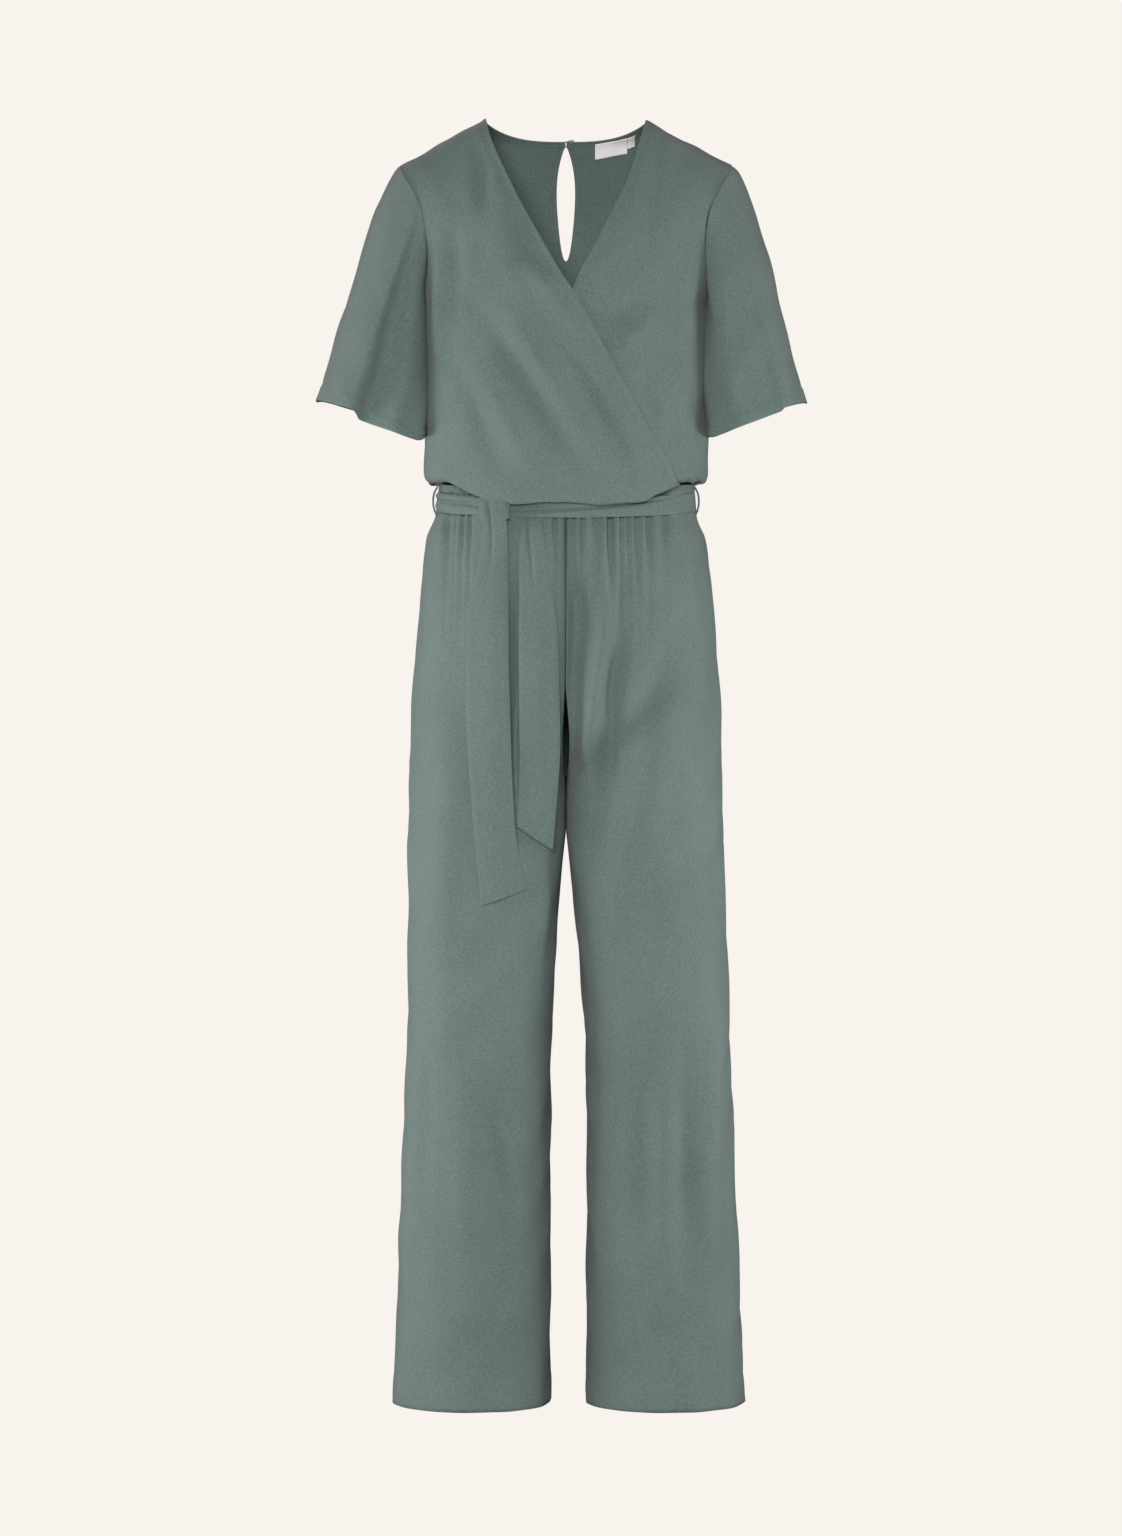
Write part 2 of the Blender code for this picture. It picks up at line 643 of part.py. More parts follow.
def main():
    for leftover in list(bpy.data.objects):
        bpy.data.objects.remove(leftover)

    cloth("back_bodice", back_bodice, (20, 20), False,
          hole=lambda u, v: abs(u - 0.5) < CENTRE_BAND and v < ROLL_STARTS * KEYHOLE_ROWS)  # fmt: skip
    cloth("right_front", right_front, (11, 20), True)
    cloth("left_front", left_front, (11, 20), True, lift=lambda u, v: -left_front_inset(u, v))
    cloth("sleeve_right", sleeve(-1), (18, 6), False, around=True)
    cloth("sleeve_left", sleeve(1), (18, 6), True, around=True)
    for side, name in ((-1, "right"), (1, "left")):
        cloth(f"{name}_leg_front", leg_panel(side, True), (8, 22), side < 0)
        cloth(f"{name}_leg_back", leg_panel(side, False), (8, 22), side > 0)
        cloth(f"neck_binding_{name}", neck_binding(side), (8, 1), side < 0, BAND_WALL,
              lift=lambda u, v: GAP)  # fmt: skip
        thread(f"belt_loop_{name}", [(side * x, 0, -drop) for x, drop in LOOP_PATH], THREAD_LOOP, DARK_GREEN)
    cloth("keyhole_binding", keyhole_binding, (16, 1), False, BAND_WALL, lift=lambda u, v: GAP)

    def on_waist(u, v):
        return BELT_WALL + SLACK

    cloth("belt_right_stretch", belt_stretch(*BELT_ENDS[0]), (8, 2), True, BELT_WALL, on_waist)
    cloth("belt_left_stretch", belt_stretch(*BELT_ENDS[1]), (12, 2), True, BELT_WALL, on_waist)
    cloth("belt_back_stretch", belt_stretch(*BELT_ENDS[2]), (14, 2), True, BELT_WALL, on_waist)
    cloth("belt_long_end", belt_tail(LONG_LEFT, LONG_RIGHT), (3, 14), True, BELT_WALL,
          tail_lift(LONG_LEFT, LONG_RIGHT))  # fmt: skip
    cloth("belt_short_end", belt_tail(SHORT_LEFT, SHORT_RIGHT), (3, 12), True, BELT_WALL,
          tail_lift(SHORT_LEFT, SHORT_RIGHT))  # fmt: skip
    cloth("belt_knot", knot_strip, (4, 8), True, BELT_WALL)

    def inside_neck(u, v):
        return -BAND_WALL - 2 * LAYER - GAP

    cloth("neck_label", label(LABEL_START, LABEL_SIZE, LABEL_BELOW), (4, 2), False, LABEL_WALL,
          inside_neck, WHITE)  # fmt: skip
    after = LABEL_START + LABEL_SIZE[0] + LABELS_APART
    cloth("size_label", label(after, SIZE_LABEL, SIZE_LABEL_BELOW), (2, 2), False, LABEL_WALL,
          inside_neck, WHITE)  # fmt: skip

    button("back_neck_button", BUTTON_X, BUTTON_DROP, 4 * LAYER + GAP)
    sewn = [back_place(x, drop, 3 * LAYER)[0] for x, drop in BUTTON_LOOP]
    thread("back_neck_button_loop", sewn, THREAD_LOOP * 0.6, DARK_GREEN)


main()
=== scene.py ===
"""The looks of a wrap-front jersey jumpsuit, made as thin cloth on the form of its solids.

Lengths are in metres, and heights are given as a drop below the neck points. X is across, with the
wearer's right at minus X, the front faces minus Y, and the origin lies midway between the neck points.
A side is -1 on the wearer's right and 1 on the left.
"""

import math

import bmesh
import bpy
import numpy as np
from mathutils import Matrix, Vector


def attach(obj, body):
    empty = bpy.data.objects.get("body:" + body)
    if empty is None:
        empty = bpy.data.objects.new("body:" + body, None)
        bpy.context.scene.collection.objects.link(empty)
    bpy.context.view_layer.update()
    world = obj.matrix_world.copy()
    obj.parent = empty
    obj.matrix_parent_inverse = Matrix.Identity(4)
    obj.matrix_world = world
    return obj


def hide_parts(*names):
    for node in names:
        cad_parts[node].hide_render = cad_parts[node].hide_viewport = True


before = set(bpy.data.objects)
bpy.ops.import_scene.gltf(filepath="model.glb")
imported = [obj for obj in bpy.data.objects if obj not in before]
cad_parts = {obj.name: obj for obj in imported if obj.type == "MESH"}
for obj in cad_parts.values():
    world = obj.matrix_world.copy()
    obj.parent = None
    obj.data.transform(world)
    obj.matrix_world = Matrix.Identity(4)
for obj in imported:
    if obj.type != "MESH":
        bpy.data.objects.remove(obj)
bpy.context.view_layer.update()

# Thicknesses of the cloth that is seen
CLOTH = 0.001  # one layer of jersey
BAND_CLOTH = 0.0016
BELT_CLOTH = 0.002
TAIL_CLOTH = 0.0016

# Thicknesses and spaces of the solids
WALL = 0.0012  # one layer of jersey
BELT_WALL = 0.0024
GAP = 0.0003
LAYER = 0.0005
SLACK = 0.0015  # room between two layers that lie on each other

# Small steps
TINY = 1e-7  # keeps a drop or a share off nought
STEP = 1e-5  # for the way a surface faces
FOLD_STEP = 0.0005  # for the way a fold or a row of stitches runs
MERGE = 1e-6  # points closer than this are one

# Shoulders and neck
NECK_HALF = 0.088
SHOULDER_SLOPE = 0.53
SLOPE_ENDS = 0.16
SLOPE_STARTS = 1e-5  # rounds the corner where the shoulder starts to slope
NECK_DROP = 0.0145
NECK_BAND = 0.005

# Bodice, as (drop, size)
BODICE_END = 0.385
BODICE_HALF = (
    (0, 0.182), (0.012, 0.179), (0.05, 0.167), (0.107, 0.154),
    (0.15, 0.151), (0.208, 0.155), (0.34, 0.156),
)  # fmt: skip
FRONT_DEPTH = (
    (0, 0), (0.004, 0.028), (0.015, 0.052), (0.04, 0.072), (0.087, 0.094),
    (0.14, 0.112), (0.2, 0.124), (0.26, 0.124), (0.34, 0.119), (0.4, 0.116),
)  # fmt: skip
BACK_DEPTH = (
    (0, 0), (0.004, 0.03), (0.0145, 0.055), (0.03, 0.066), (0.06, 0.082),
    (0.1, 0.098), (0.15, 0.108), (0.22, 0.106), (0.3, 0.1), (0.4, 0.1),
)  # fmt: skip
BODICE_ROUND = 0.8  # 1 is an oval, and less is squarer
ROW_POWER = 2.118  # draws the rows of cloth together near the neck
ROLL_STARTS = 0.8  # the share of the rows that are above the roll over the belt
WRAP_EDGE = (
    (0, -0.088), (0.0245, -0.0825), (0.072, -0.0633), (0.14, -0.028), (0.184, -0.004),
    (0.2, 0.0068), (0.282, 0.0534), (0.361, 0.0978), (0.404, 0.1264), (0.43, 0.147),
)  # fmt: skip
UNDER_EDGE = (
    (0, 0.088), (0.024, 0.0818), (0.072, 0.0677), (0.117, 0.0472), (0.162, 0.025), (0.185, 0.0122),
    (0.2, 0.0068), (0.283, -0.0535), (0.363, -0.0973), (0.403, -0.127),
)  # fmt: skip
WRAP_SLANT = 0.036  # how much further the wrap edge has run by the end of the roll
WRAP_LEAN = 0.58  # how far a front's edge goes across for each drop
EDGE_BAND = 0.0085  # from a front's edge to its stitches
EDGE_LIFT = (0.0014, 0.05)  # how far the upper front's edge stands off, and over what share

# How the left front lies under the right one
UNDER_SLACKS = 1.4  # further in near the waist, in slacks
UNDER_DEEPER = (0.27, 0.06)
UNDER_LAP = (0.15, 0.11)
OWN_FOLDS = 0.65
GROOVE = 0.0032  # along the wrap edge
GROOVE_BESIDE = 0.006
GROOVE_WIDE = 0.015
GROOVE_STARTS = (0.2, 0.02)
GROOVE_ENDS = (0.8, 0.03)

# Opening at the back neck
KEYHOLE_TOP = 0.0198
KEYHOLE_END = 0.141
KEYHOLE_HALF = 0.01
KEYHOLE_SLIT = 0.0005
KEYHOLE_ROWS = 0.6053  # the share of the rows above the roll that the opening takes
KEYHOLE_LEAN = 0.777  # under 1, the opening is widest above its middle
KEYHOLE_BLUNT = 0.5  # how much blunter its lower end is
KEYHOLE_SPREAD = 0.07  # how fast the middle columns spread below it
CENTRE_BAND = 0.05
PANEL_MARGIN = NECK_BAND - 0.0008  # the band covers the panel's edge

# Armhole and sleeve
ARMHOLE_DROP = 0.208
ARMHOLE_DEPTH = 0.068
SLEEVE_HEM = {-1: np.array((0.2165, 0.004, -0.3305)), 1: np.array((0.211, 0.004, -0.3315))}  # its middle
SLEEVE_HEM_ACROSS = {-1: np.array((0.0585, 0, 0.0215)), 1: np.array((0.053, 0, 0.0205))}
SLEEVE_FORWARD = np.array((-0.0035, -0.045, 0))
SLEEVE_CLEARS = -0.0065  # how far the inner side swings in between armhole and hem
SLEEVE_INNER = 0.8  # the reach of that inner side round the sleeve
SLEEVE_HEM_DEPTH = 0.08
SLEEVE_BACK_RISE = 0.012
SLEEVE_CAP = np.array((0.085, 0, -0.045))
SLEEVE_CAP_POWER = 1.5
SLEEVE_ARRIVE = 0.95
SLEEVE_FOLD = {-1: (1.74, 0.05, 1.3), 1: (2.04, 0.08, 0.6)}  # turn, sharpness and size of the main fold
SLEEVE_FOLD_REACH = 0.75
SLEEVE_WAVE = 0.1  # how far the hem goes out and in with the folds
WAVE_ACROSS = 0.4  # the share of that which goes across
SLEEVE_STEP = {-1: 0.007, 1: 0.0028}  # how much lower the hem is inside the main fold
STEP_TURN = 0.1
STEP_STARTS = 0.5
SLEEVE_STITCH_ROW = 0.925

# Ridges and hollows down a sleeve, as their turn, how far that leans to the side, width and height
SLEEVE_WAVES = (
    (1.95, 0.06, 0.26, 0.5), (1.48, 0.06, 0.24, -0.5), (1.0, 0, 0.26, 0.5), (2.75, 0, 0.25, 0.4),
    (4.3, 0.06, 0.28, 0.8), (4.85, 0, 0.28, -0.8), (5.5, 0, 0.3, 0.5),
)  # fmt: skip

# Waist and blousing
WAIST_DROP = 0.4005
WAIST_DIP = 0.0095
DIP_POWER = 1.2
DIP_FADE = 0.12
BLOUSE_SIDE = 0.397
BLOUSE_FRONT = 0.0366
BLOUSE_BACK = 0.004
BLOUSE_SINKS = (0.45, 0.5)  # where the roll sinks towards the middle, by the cosine from it
ROLL_RISE = 0.016
ROLL_TUCK = 0.3
ROLL_ENDS = 0.0025
FRONT_ROLLS = (0.74, 0.16)
FRONT_TURNS = (0.86, 0.14)
BACK_ROLLS = (0.76, 0.14)
BACK_TURNS = (0.88, 0.12)

# Legs, as (drop, size)
HIP_HALF = (
    (0.4, 0.1372), (0.433, 0.1392), (0.461, 0.1495), (0.505, 0.1575), (0.571, 0.1645),
    (0.637, 0.169), (0.75, 0.1725), (0.86, 0.1745), (0.97, 0.176), (1.08, 0.1805), (1.407, 0.193),
)  # fmt: skip
LEG_INNER = ((0.782, 0.0), (0.813, 0.0035), (0.857, 0.008), (0.95, 0.015), (1.04, 0.0195), (1.407, 0.02))
LEG_FRONT = (
    (0.4, 0.0965), (0.433, 0.098), (0.461, 0.107), (0.53, 0.118), (0.62, 0.122),
    (0.72, 0.118), (0.85, 0.104), (1.05, 0.094), (1.407, 0.092),
)  # fmt: skip
LEG_BACK = (
    (0.4, 0.0935), (0.433, 0.096), (0.461, 0.108), (0.53, 0.126), (0.6, 0.134),
    (0.7, 0.13), (0.8, 0.112), (1.0, 0.096), (1.407, 0.092),
)  # fmt: skip
LEG_ROUND = 0.85  # 1 is an oval, and less is squarer
INNER_ROUND = ((0.6, 0.4), (0.8, 0.4), (0.95, 0.7), (1.1, 0.85))  # the same towards the other leg
LEG_SWING = 0.003  # how far both legs lean to the wearer's left
SWING_OUTER = (0.78, 0.25)
SWING_INNER = (0.8, 0.1)
CROTCH = 0.722
SMOOTH_FORK = (0.58, 0.04)  # below this the cloth beside the centre seam isn't rumpled
FORK_HALF = 0.016
INNER_SEAM_FADES = (0.5, 0.08)  # it shows above this and again down the legs
FRONT_RISE = 0.6
BACK_RISE = 0.56
HEM = 1.407
LEG_ROWS = (
    (0, WAIST_DROP), (0.1, 0.433), (0.2, 0.478), (0.3, 0.55),
    (0.4, 0.65), (0.45, 0.695), (0.5, CROTCH), (1, HEM),
)  # fmt: skip
LEG_HEM_STITCH = 0.028

# Belt
BELT_TOP = 0.0085
BELT_BOTTOM = 0.03
KNOT_X = -0.0725
KNOT_DROP = 0.4355
KNOT_WIDTH = 0.025
KNOT_HEIGHT = 0.019
KNOT_OUT = (0.0104, 0.0118)  # off the trousers at its top and at its bottom
KNOT_BULGE = 0.004
KNOT_NIP = 0.12
BELT_DIP = 0.004  # how much lower it lies at the middle than at the sides
BELT_RIGHT = (-89.8, -34)  # in degrees from the centre front towards the left
BELT_LEFT = (-30, 89.8)
BELT_BEHIND = (90.2, 269.8)
LONG_LEFT = (
    (0.4165, -0.0885), (0.455, -0.0865), (0.553, -0.107),
    (0.64, -0.107), (0.746, -0.101), (0.861, -0.091),
)  # fmt: skip
LONG_RIGHT = (
    (0.4165, -0.0595), (0.455, -0.0605), (0.5, -0.061),
    (0.69, -0.059), (0.778, -0.0547), (0.843, -0.044),
)  # fmt: skip
SHORT_LEFT = ((0.441, -0.05), (0.447, -0.0494), (0.57, -0.0503), (0.69, -0.0503), (0.775, -0.0536))
SHORT_RIGHT = ((0.441, -0.0265), (0.447, -0.026), (0.575, -0.0086), (0.682, -0.0064), (0.8, -0.014))
LONG_LIFT = (
    (0.4165, 0.0062), (0.42, 0.0125), (0.428, 0.017), (0.444, 0.0165),
    (0.465, 0.0095), (0.5, 0.0036), (0.86, 0.0032),
)  # fmt: skip
SHORT_LIFT = ((0.441, 0.0012), (0.448, 0.0028), (0.47, 0.0034), (0.86, 0.0032))
TAIL_BRIDGES = 0.045  # nearer the middle than this, an end hangs free of the hollow between the legs

# Trim
THREAD_LOOP = 0.0011
FINE_LOOP = 0.6  # the button's loop against a belt loop
LABEL_SIZE = (0.036, 0.016)
LABEL_START = 0.0325
LABEL_BELOW = 0.0018  # under the neck edge
SIZE_LABEL = (0.008, 0.011)
SIZE_BELOW = 0.0022
LABEL_WALL = 0.0005
BUTTON_RADIUS = 0.0045
BUTTON_THICK = 0.0022
BUTTON_PROFILE = (  # out, in radii, and up, in thicknesses
    (0, 0.2), (0.5, 0.22), (0.66, 0.5), (0.84, 0.5), (1, 0.15), (1, -0.25), (0.85, -0.5), (0, -0.5),
)  # fmt: skip
BUTTON_X = 0.006
BUTTON_DROP = 0.0175
BUTTON_LOOP = ((-0.004, 0.016), (0.003, 0.0152), (0.0085, 0.0175), (0.003, 0.0198), (-0.004, 0.0188))
LOOP_PATH = ((0.1415, 0.4028), (0.1448, 0.409), (0.1462, 0.4185), (0.145, 0.4275), (0.1422, 0.4345))
STITCH_LONG = 0.0026
STITCH_PITCH = 0.0036
STITCH_THICK = 0.0004
STITCH_STANDS = 0.2  # how far its middle is off the cloth, in thicknesses

# Folds, as the knots (drop, x) of their lines, then half-width and height; troughs are negative
RIGHT_FRONT_FOLDS = (
    (((0.18, -0.11), (0.25, -0.072), (0.32, -0.03), (0.42, 0.025)), 0.013, -0.0032),
    (((0.18, -0.085), (0.25, -0.046), (0.32, -0.002), (0.42, 0.052)), 0.014, 0.0028),
    (((0.25, -0.012), (0.29, 0.01), (0.353, 0.045), (0.4, 0.073)), 0.011, -0.0028),
    (((0.26, -0.13), (0.282, -0.114), (0.378, -0.078), (0.42, -0.06)), 0.014, -0.0032),
    (((0.25, -0.105), (0.33, -0.07), (0.41, -0.03)), 0.013, 0.0024),
    (((0.02, -0.096), (0.06, -0.093), (0.13, -0.09)), 0.009, -0.0022),
    (((0.11, -0.122), (0.16, -0.12), (0.24, -0.124)), 0.01, -0.0028),
    (((0.1, -0.135), (0.18, -0.137), (0.3, -0.135)), 0.008, 0.0022),
    (((0.06, -0.05), (0.12, -0.045), (0.2, -0.03)), 0.018, -0.002),
    (((0.15, -0.05), (0.2, -0.02), (0.27, 0.025)), 0.012, 0.0018),
)  # fmt: skip
LEFT_FRONT_FOLDS = (
    (((0.19, 0.09), (0.212, 0.07), (0.25, 0.042), (0.3, 0.01)), 0.008, -0.0038),
    (((0.2, 0.1), (0.23, 0.085), (0.27, 0.054), (0.32, 0.02)), 0.009, 0.0034),
    (((0.24, 0.12), (0.27, 0.098), (0.309, 0.073), (0.36, 0.04)), 0.009, -0.003),
    (((0.26, 0.135), (0.3, 0.115), (0.36, 0.085)), 0.011, 0.0028),
    (((0.3, 0.145), (0.34, 0.12), (0.4, 0.1)), 0.009, -0.0026),
    (((0.02, 0.098), (0.07, 0.094), (0.15, 0.088)), 0.01, -0.002),
    (((0.1, 0.122), (0.17, 0.122), (0.26, 0.127)), 0.01, -0.0026),
)  # fmt: skip
BACK_FOLDS = (
    (((0.2, -0.12), (0.27, -0.1), (0.34, -0.085), (0.4, -0.075)), 0.012, -0.0034),
    (((0.21, -0.1), (0.3, -0.078), (0.4, -0.055)), 0.013, 0.0026),
    (((0.2, 0.115), (0.28, 0.1), (0.34, 0.08), (0.4, 0.07)), 0.012, -0.0034),
    (((0.22, 0.095), (0.31, 0.073), (0.4, 0.05)), 0.013, 0.0026),
    (((0.17, -0.01), (0.26, -0.016), (0.34, -0.01), (0.4, -0.014)), 0.016, -0.003),
    (((0.2, 0.02), (0.3, 0.016), (0.4, 0.022)), 0.014, 0.0024),
    (((0.1, -0.12), (0.18, -0.122), (0.28, -0.13)), 0.01, -0.0024),
    (((0.1, 0.12), (0.18, 0.124), (0.28, 0.13)), 0.01, -0.0024),
)  # fmt: skip
TROUSER_FRONT_FOLDS = (
    (((0.44, -0.0555), (0.6, -0.0545), (0.84, -0.05)), 0.0075, -0.0062),
    (((0.43, 0.0), (0.49, 0.002), (0.542, 0.012), (0.611, 0.008), (0.75, 0.001)), 0.012, -0.006),
    (((0.47, 0.04), (0.53, 0.042), (0.649, 0.03), (0.76, 0.018)), 0.011, 0.0045),
    (((0.46, 0.055), (0.535, 0.057), (0.649, 0.046), (0.726, 0.042), (0.803, 0.03), (0.86, 0.015)),
     0.011, -0.0042),
    (((0.55, 0.125), (0.649, 0.108), (0.784, 0.076), (0.95, 0.046)), 0.022, 0.0035),
    (((0.54, 0.12), (0.615, 0.1), (0.69, 0.065), (0.78, 0.024)), 0.016, -0.003),
    (((0.95, 0.09), (1.057, 0.086), (1.229, 0.086), (1.3, 0.09)), 0.016, -0.0036),
    (((0.9, 0.13), (0.993, 0.128), (1.272, 0.128), (1.34, 0.13)), 0.014, -0.0036),
    (((0.85, 0.172), (0.961, 0.165), (1.101, 0.158), (1.38, 0.158)), 0.012, 0.0034),
    (((1.0, 0.108), (1.15, 0.106), (1.36, 0.108)), 0.013, 0.003),
    (((0.77, -0.026), (0.85, -0.027), (0.97, -0.03)), 0.009, 0.003),
    (((1.0, -0.086), (1.101, -0.079), (1.184, -0.075), (1.39, -0.066)), 0.018, -0.0045),
    (((1.05, -0.115), (1.2, -0.107), (1.4, -0.1)), 0.018, 0.0035),
    (((0.6, -0.125), (0.75, -0.128), (0.95, -0.14)), 0.018, 0.003),
    (((0.9, -0.15), (1.1, -0.155), (1.38, -0.162)), 0.014, -0.0026),
    (((0.88, -0.052), (1.0, -0.05), (1.25, -0.045)), 0.012, 0.0026),
)  # fmt: skip
TROUSER_BACK_FOLDS = (
    (((0.62, -0.03), (0.7, -0.05), (0.8, -0.085), (0.88, -0.11)), 0.012, -0.005),
    (((0.64, 0.03), (0.71, 0.05), (0.8, 0.083), (0.87, 0.11)), 0.012, -0.005),
    (((0.67, -0.02), (0.75, -0.045), (0.86, -0.08)), 0.012, 0.0036),
    (((0.67, 0.02), (0.75, 0.045), (0.86, 0.08)), 0.012, 0.0036),
    (((0.72, -0.01), (0.79, -0.03), (0.88, -0.05)), 0.01, -0.0038),
    (((0.72, 0.01), (0.79, 0.03), (0.88, 0.05)), 0.01, -0.0038),
    (((0.95, -0.09), (1.1, -0.095), (1.3, -0.1)), 0.018, -0.0045),
    (((0.95, 0.1), (1.1, 0.1), (1.32, 0.105)), 0.018, -0.0045),
    (((0.95, -0.12), (1.15, -0.125), (1.38, -0.13)), 0.016, 0.0034),
    (((0.95, 0.07), (1.15, 0.07), (1.38, 0.075)), 0.016, 0.0034),
)  # fmt: skip

FOLD_DEPTH = 3.3  # the heights above are multiplied by this
FOLD_RISE = 2.2  # over 2, a fold has its full height along its middle
LOWER_SHARE = 0.35  # how much flatter the folds are down the legs
LOWER_STARTS = (0.85, 0.1)
GATHER_DEPTH = 3.0
RUMPLE = 0.0007

# Seams and hems, as their depth and half-width
SEAM_DEPTH = 0.0009
FRONT_SEAM = 0.02
BACK_SEAM = 0.012
BELOW_ARMHOLE = (ARMHOLE_DROP, 0.02)
BELOW_NECK = (0.03, 0.05)
HEM_FOLD = 0.0005  # how far the turned-up hem stands out
SLEEVE_GROOVE = (0.0008, 0.008)
LEG_GROOVE = (0.0006, 0.0018)

# Gathers under the waist seam at the front, as their place across, half-width and depth
FRONT_GATHERS = (
    (-0.129, 0.004, 0.0024), (-0.122, 0.003, 0.002), (-0.114, 0.004, 0.0028), (-0.105, 0.003, 0.0022),
    (-0.012, 0.003, 0.0024), (0.0, 0.005, 0.0026), (0.009, 0.003, 0.0026), (0.018, 0.003, 0.0026),
    (0.03, 0.004, 0.0018), (0.036, 0.003, 0.0018), (0.048, 0.004, 0.0046), (0.06, 0.003, 0.0026),
    (0.068, 0.003, 0.0024), (0.077, 0.004, 0.0026), (0.089, 0.004, 0.0024), (0.106, 0.005, 0.002),
)  # fmt: skip
GATHER_LIFT = 0.0007
BACK_GIRTH = 0.115  # turns an angle behind into a distance
BACK_GATHERS = (0.0105, 0.003)
GATHERS_FADE = ((0.4, 0.7), (0.43, 0.9), (0.455, 1.0), (0.49, 0.5), (0.56, 0.12), (0.62, 0.0))

# Looks
JERSEY_LIGHT = (0.152, 0.209, 0.19, 1)
JERSEY_DARK = (0.088, 0.127, 0.115, 1)
THREAD_LIGHT = (0.115, 0.16, 0.145, 1)
THREAD_DARK = (0.06, 0.09, 0.08, 1)
LABEL_LIGHT = (0.97, 0.95, 0.93, 1)
LABEL_DARK = (0.9, 0.88, 0.86, 1)
SHELL_LIGHT = (0.34, 0.4, 0.37, 1)
SHELL_DARK = (0.2, 0.26, 0.235, 1)
BACKDROP = (0.947, 0.896, 0.855, 1)
SHEEN = 0.16
SHEEN_ROUGHNESS = 0.5
CLOTH_SPECULAR = 0.25
BUMP_STRENGTH = 0.5

# The knit
LOOP_LEAN = 1.3
LOOP_SHARE = 0.35
KNIT_SHARE = 0.6
BRUSHED_SCALE = 1500
FLECK_SCALE = 420
CLOUD_SCALE = 9
CLOUD_TONE = 0.5
# how much painted shade darkens the grooves between the stitch columns
STITCH_GROOVE_SHADE = 0.25

# The stage
FLOOR_DROP = 1.62
FLOOR_SIZE = 40
AMBIENT = 0.16  # how much of the backdrop's brightness lights the jumpsuit
LIT_MIDDLE = (0, 0, -0.7)
LIGHTS = (
    ("soft_light_left", (-3.0, -2.6, -0.6), (1.2, 1.2), 7),
    ("soft_light_right", (3.0, -2.6, -0.75), (1.2, 1.2), 4),
    ("soft_light_front", (-0.3, -5.2, -0.05), (1.4, 1.0), 225),
    ("soft_light_behind", (0.0, 3.6, 0.2), (2.4, 2.0), 60),
    ("thigh_light_left", (-1.3, -0.3, -0.86), (0.5, 0.5), 12),
    ("thigh_light_right", (1.3, -0.3, -0.86), (0.5, 0.5), 11),
)
CAMERA_PLACE = (-0.0055, -4.4, -0.712)
CAMERA_LENS = 93.7


def between(start, end, leave, arrive, t):
    """A cubic from a start to an end, with the slopes at which it leaves and arrives."""
    way = (2 * t**3 - 3 * t**2 + 1) * start + (3 * t**2 - 2 * t**3) * end
    return way + (t**3 - 2 * t**2 + t) * leave + (t**3 - t**2) * arrive


def smooth(knots, place):
    """The values at some places, on a curve through every knot (place, value) that never overshoots."""
    places, values = np.array(knots, float).T
    spans = np.diff(places)
    rises = np.diff(values) / spans
    before, after = rises[:-1], rises[1:]
    same_way = before * after > 0
    middle = np.where(same_way, 2 * before * after / np.where(same_way, before + after, 1), 0)
    slopes = np.concatenate((rises[:1], middle, rises[-1:]))
    place = np.clip(place, places[0], places[-1])
    index = np.clip(np.searchsorted(places, place) - 1, 0, len(rises) - 1)
    span = spans[index]
    leave, arrive = span * slopes[index], span * slopes[index + 1]
    return between(values[index], values[index + 1], leave, arrive, (place - places[index]) / span)


def ease(value):
    """0 up to 0 and 1 from 1 on, with a soft way between."""
    value = np.clip(value, 0, 1)
    return value * value * (3 - 2 * value)


def rises(value, start, over):
    """An eased rise from 0 to 1 that begins at a start and goes on over a stretch."""
    return ease((value - start) / over)


def bump(distance):
    """A soft hump, 1 high at no distance."""
    return np.exp(-(distance**2))


def points(x, y, z):
    return np.stack(np.broadcast_arrays(x, y, z), -1)


def unit(vectors):
    return vectors / np.maximum(np.linalg.norm(vectors, axis=-1, keepdims=True), 1e-12)


def creases(folds, x, drop):
    """How far a list of folds pushes the cloth out."""
    total = 0
    for knots, width, height in folds:
        first, last = knots[0][0], knots[-1][0]
        level = np.clip(drop, first, last)
        lean = (smooth(knots, level + FOLD_STEP) - smooth(knots, level - FOLD_STEP)) / (2 * FOLD_STEP)
        aside = (x - smooth(knots, level)) / np.sqrt(1 + lean**2)
        share = (drop - first) / (last - first)
        ends = ease(share * FOLD_RISE) * ease((1 - share) * FOLD_RISE)
        total = total + FOLD_DEPTH * height * bump(aside / width) * ends
    return total


def gathers(along, pitch, depth):
    """Small uneven pleats, where elastic draws the cloth in: waves of unlike lengths, added up."""
    turn = 2 * np.pi * along / pitch
    wave = np.sin(turn + 1.3 * np.sin(turn * 0.231)) + 0.6 * np.sin(turn * 0.617 + 1.9)
    wave = wave + 0.4 * np.sin(turn * 1.71 + 0.7 * np.sin(turn * 0.11))
    return depth * wave / 2


def rumple(place):
    """A slight unevenness all over a cloth, at points of its plain form: three slanting waves."""
    x, y, z = place[..., 0], place[..., 1], place[..., 2]
    across = x * 95 + y * 60 + 1.7 * np.sin(z * 21 + x * 30)
    slanting = x * 52 - z * 60 + y * 75 + 1.3 * np.sin(x * 40 - z * 17)
    small = x * 150 + z * 47 - y * 110 + 1.5 * np.sin(z * 63)
    return RUMPLE * (np.sin(across) + np.sin(slanting) + 0.4 * np.sin(small))


# The bodice -----------------------------------------------------------------


def bodice_depth(drop, front):
    knots = FRONT_DEPTH if front else BACK_DEPTH
    rooted = [(math.sqrt(place), depth) for place, depth in knots]
    return smooth(rooted, np.sqrt(np.maximum(drop, 0)))


def armhole_depth(drop):
    share = 2 * np.clip(drop, TINY, ARMHOLE_DROP) / ARMHOLE_DROP - 1
    return ARMHOLE_DEPTH * np.sqrt(np.maximum(1 - share * share, 0))


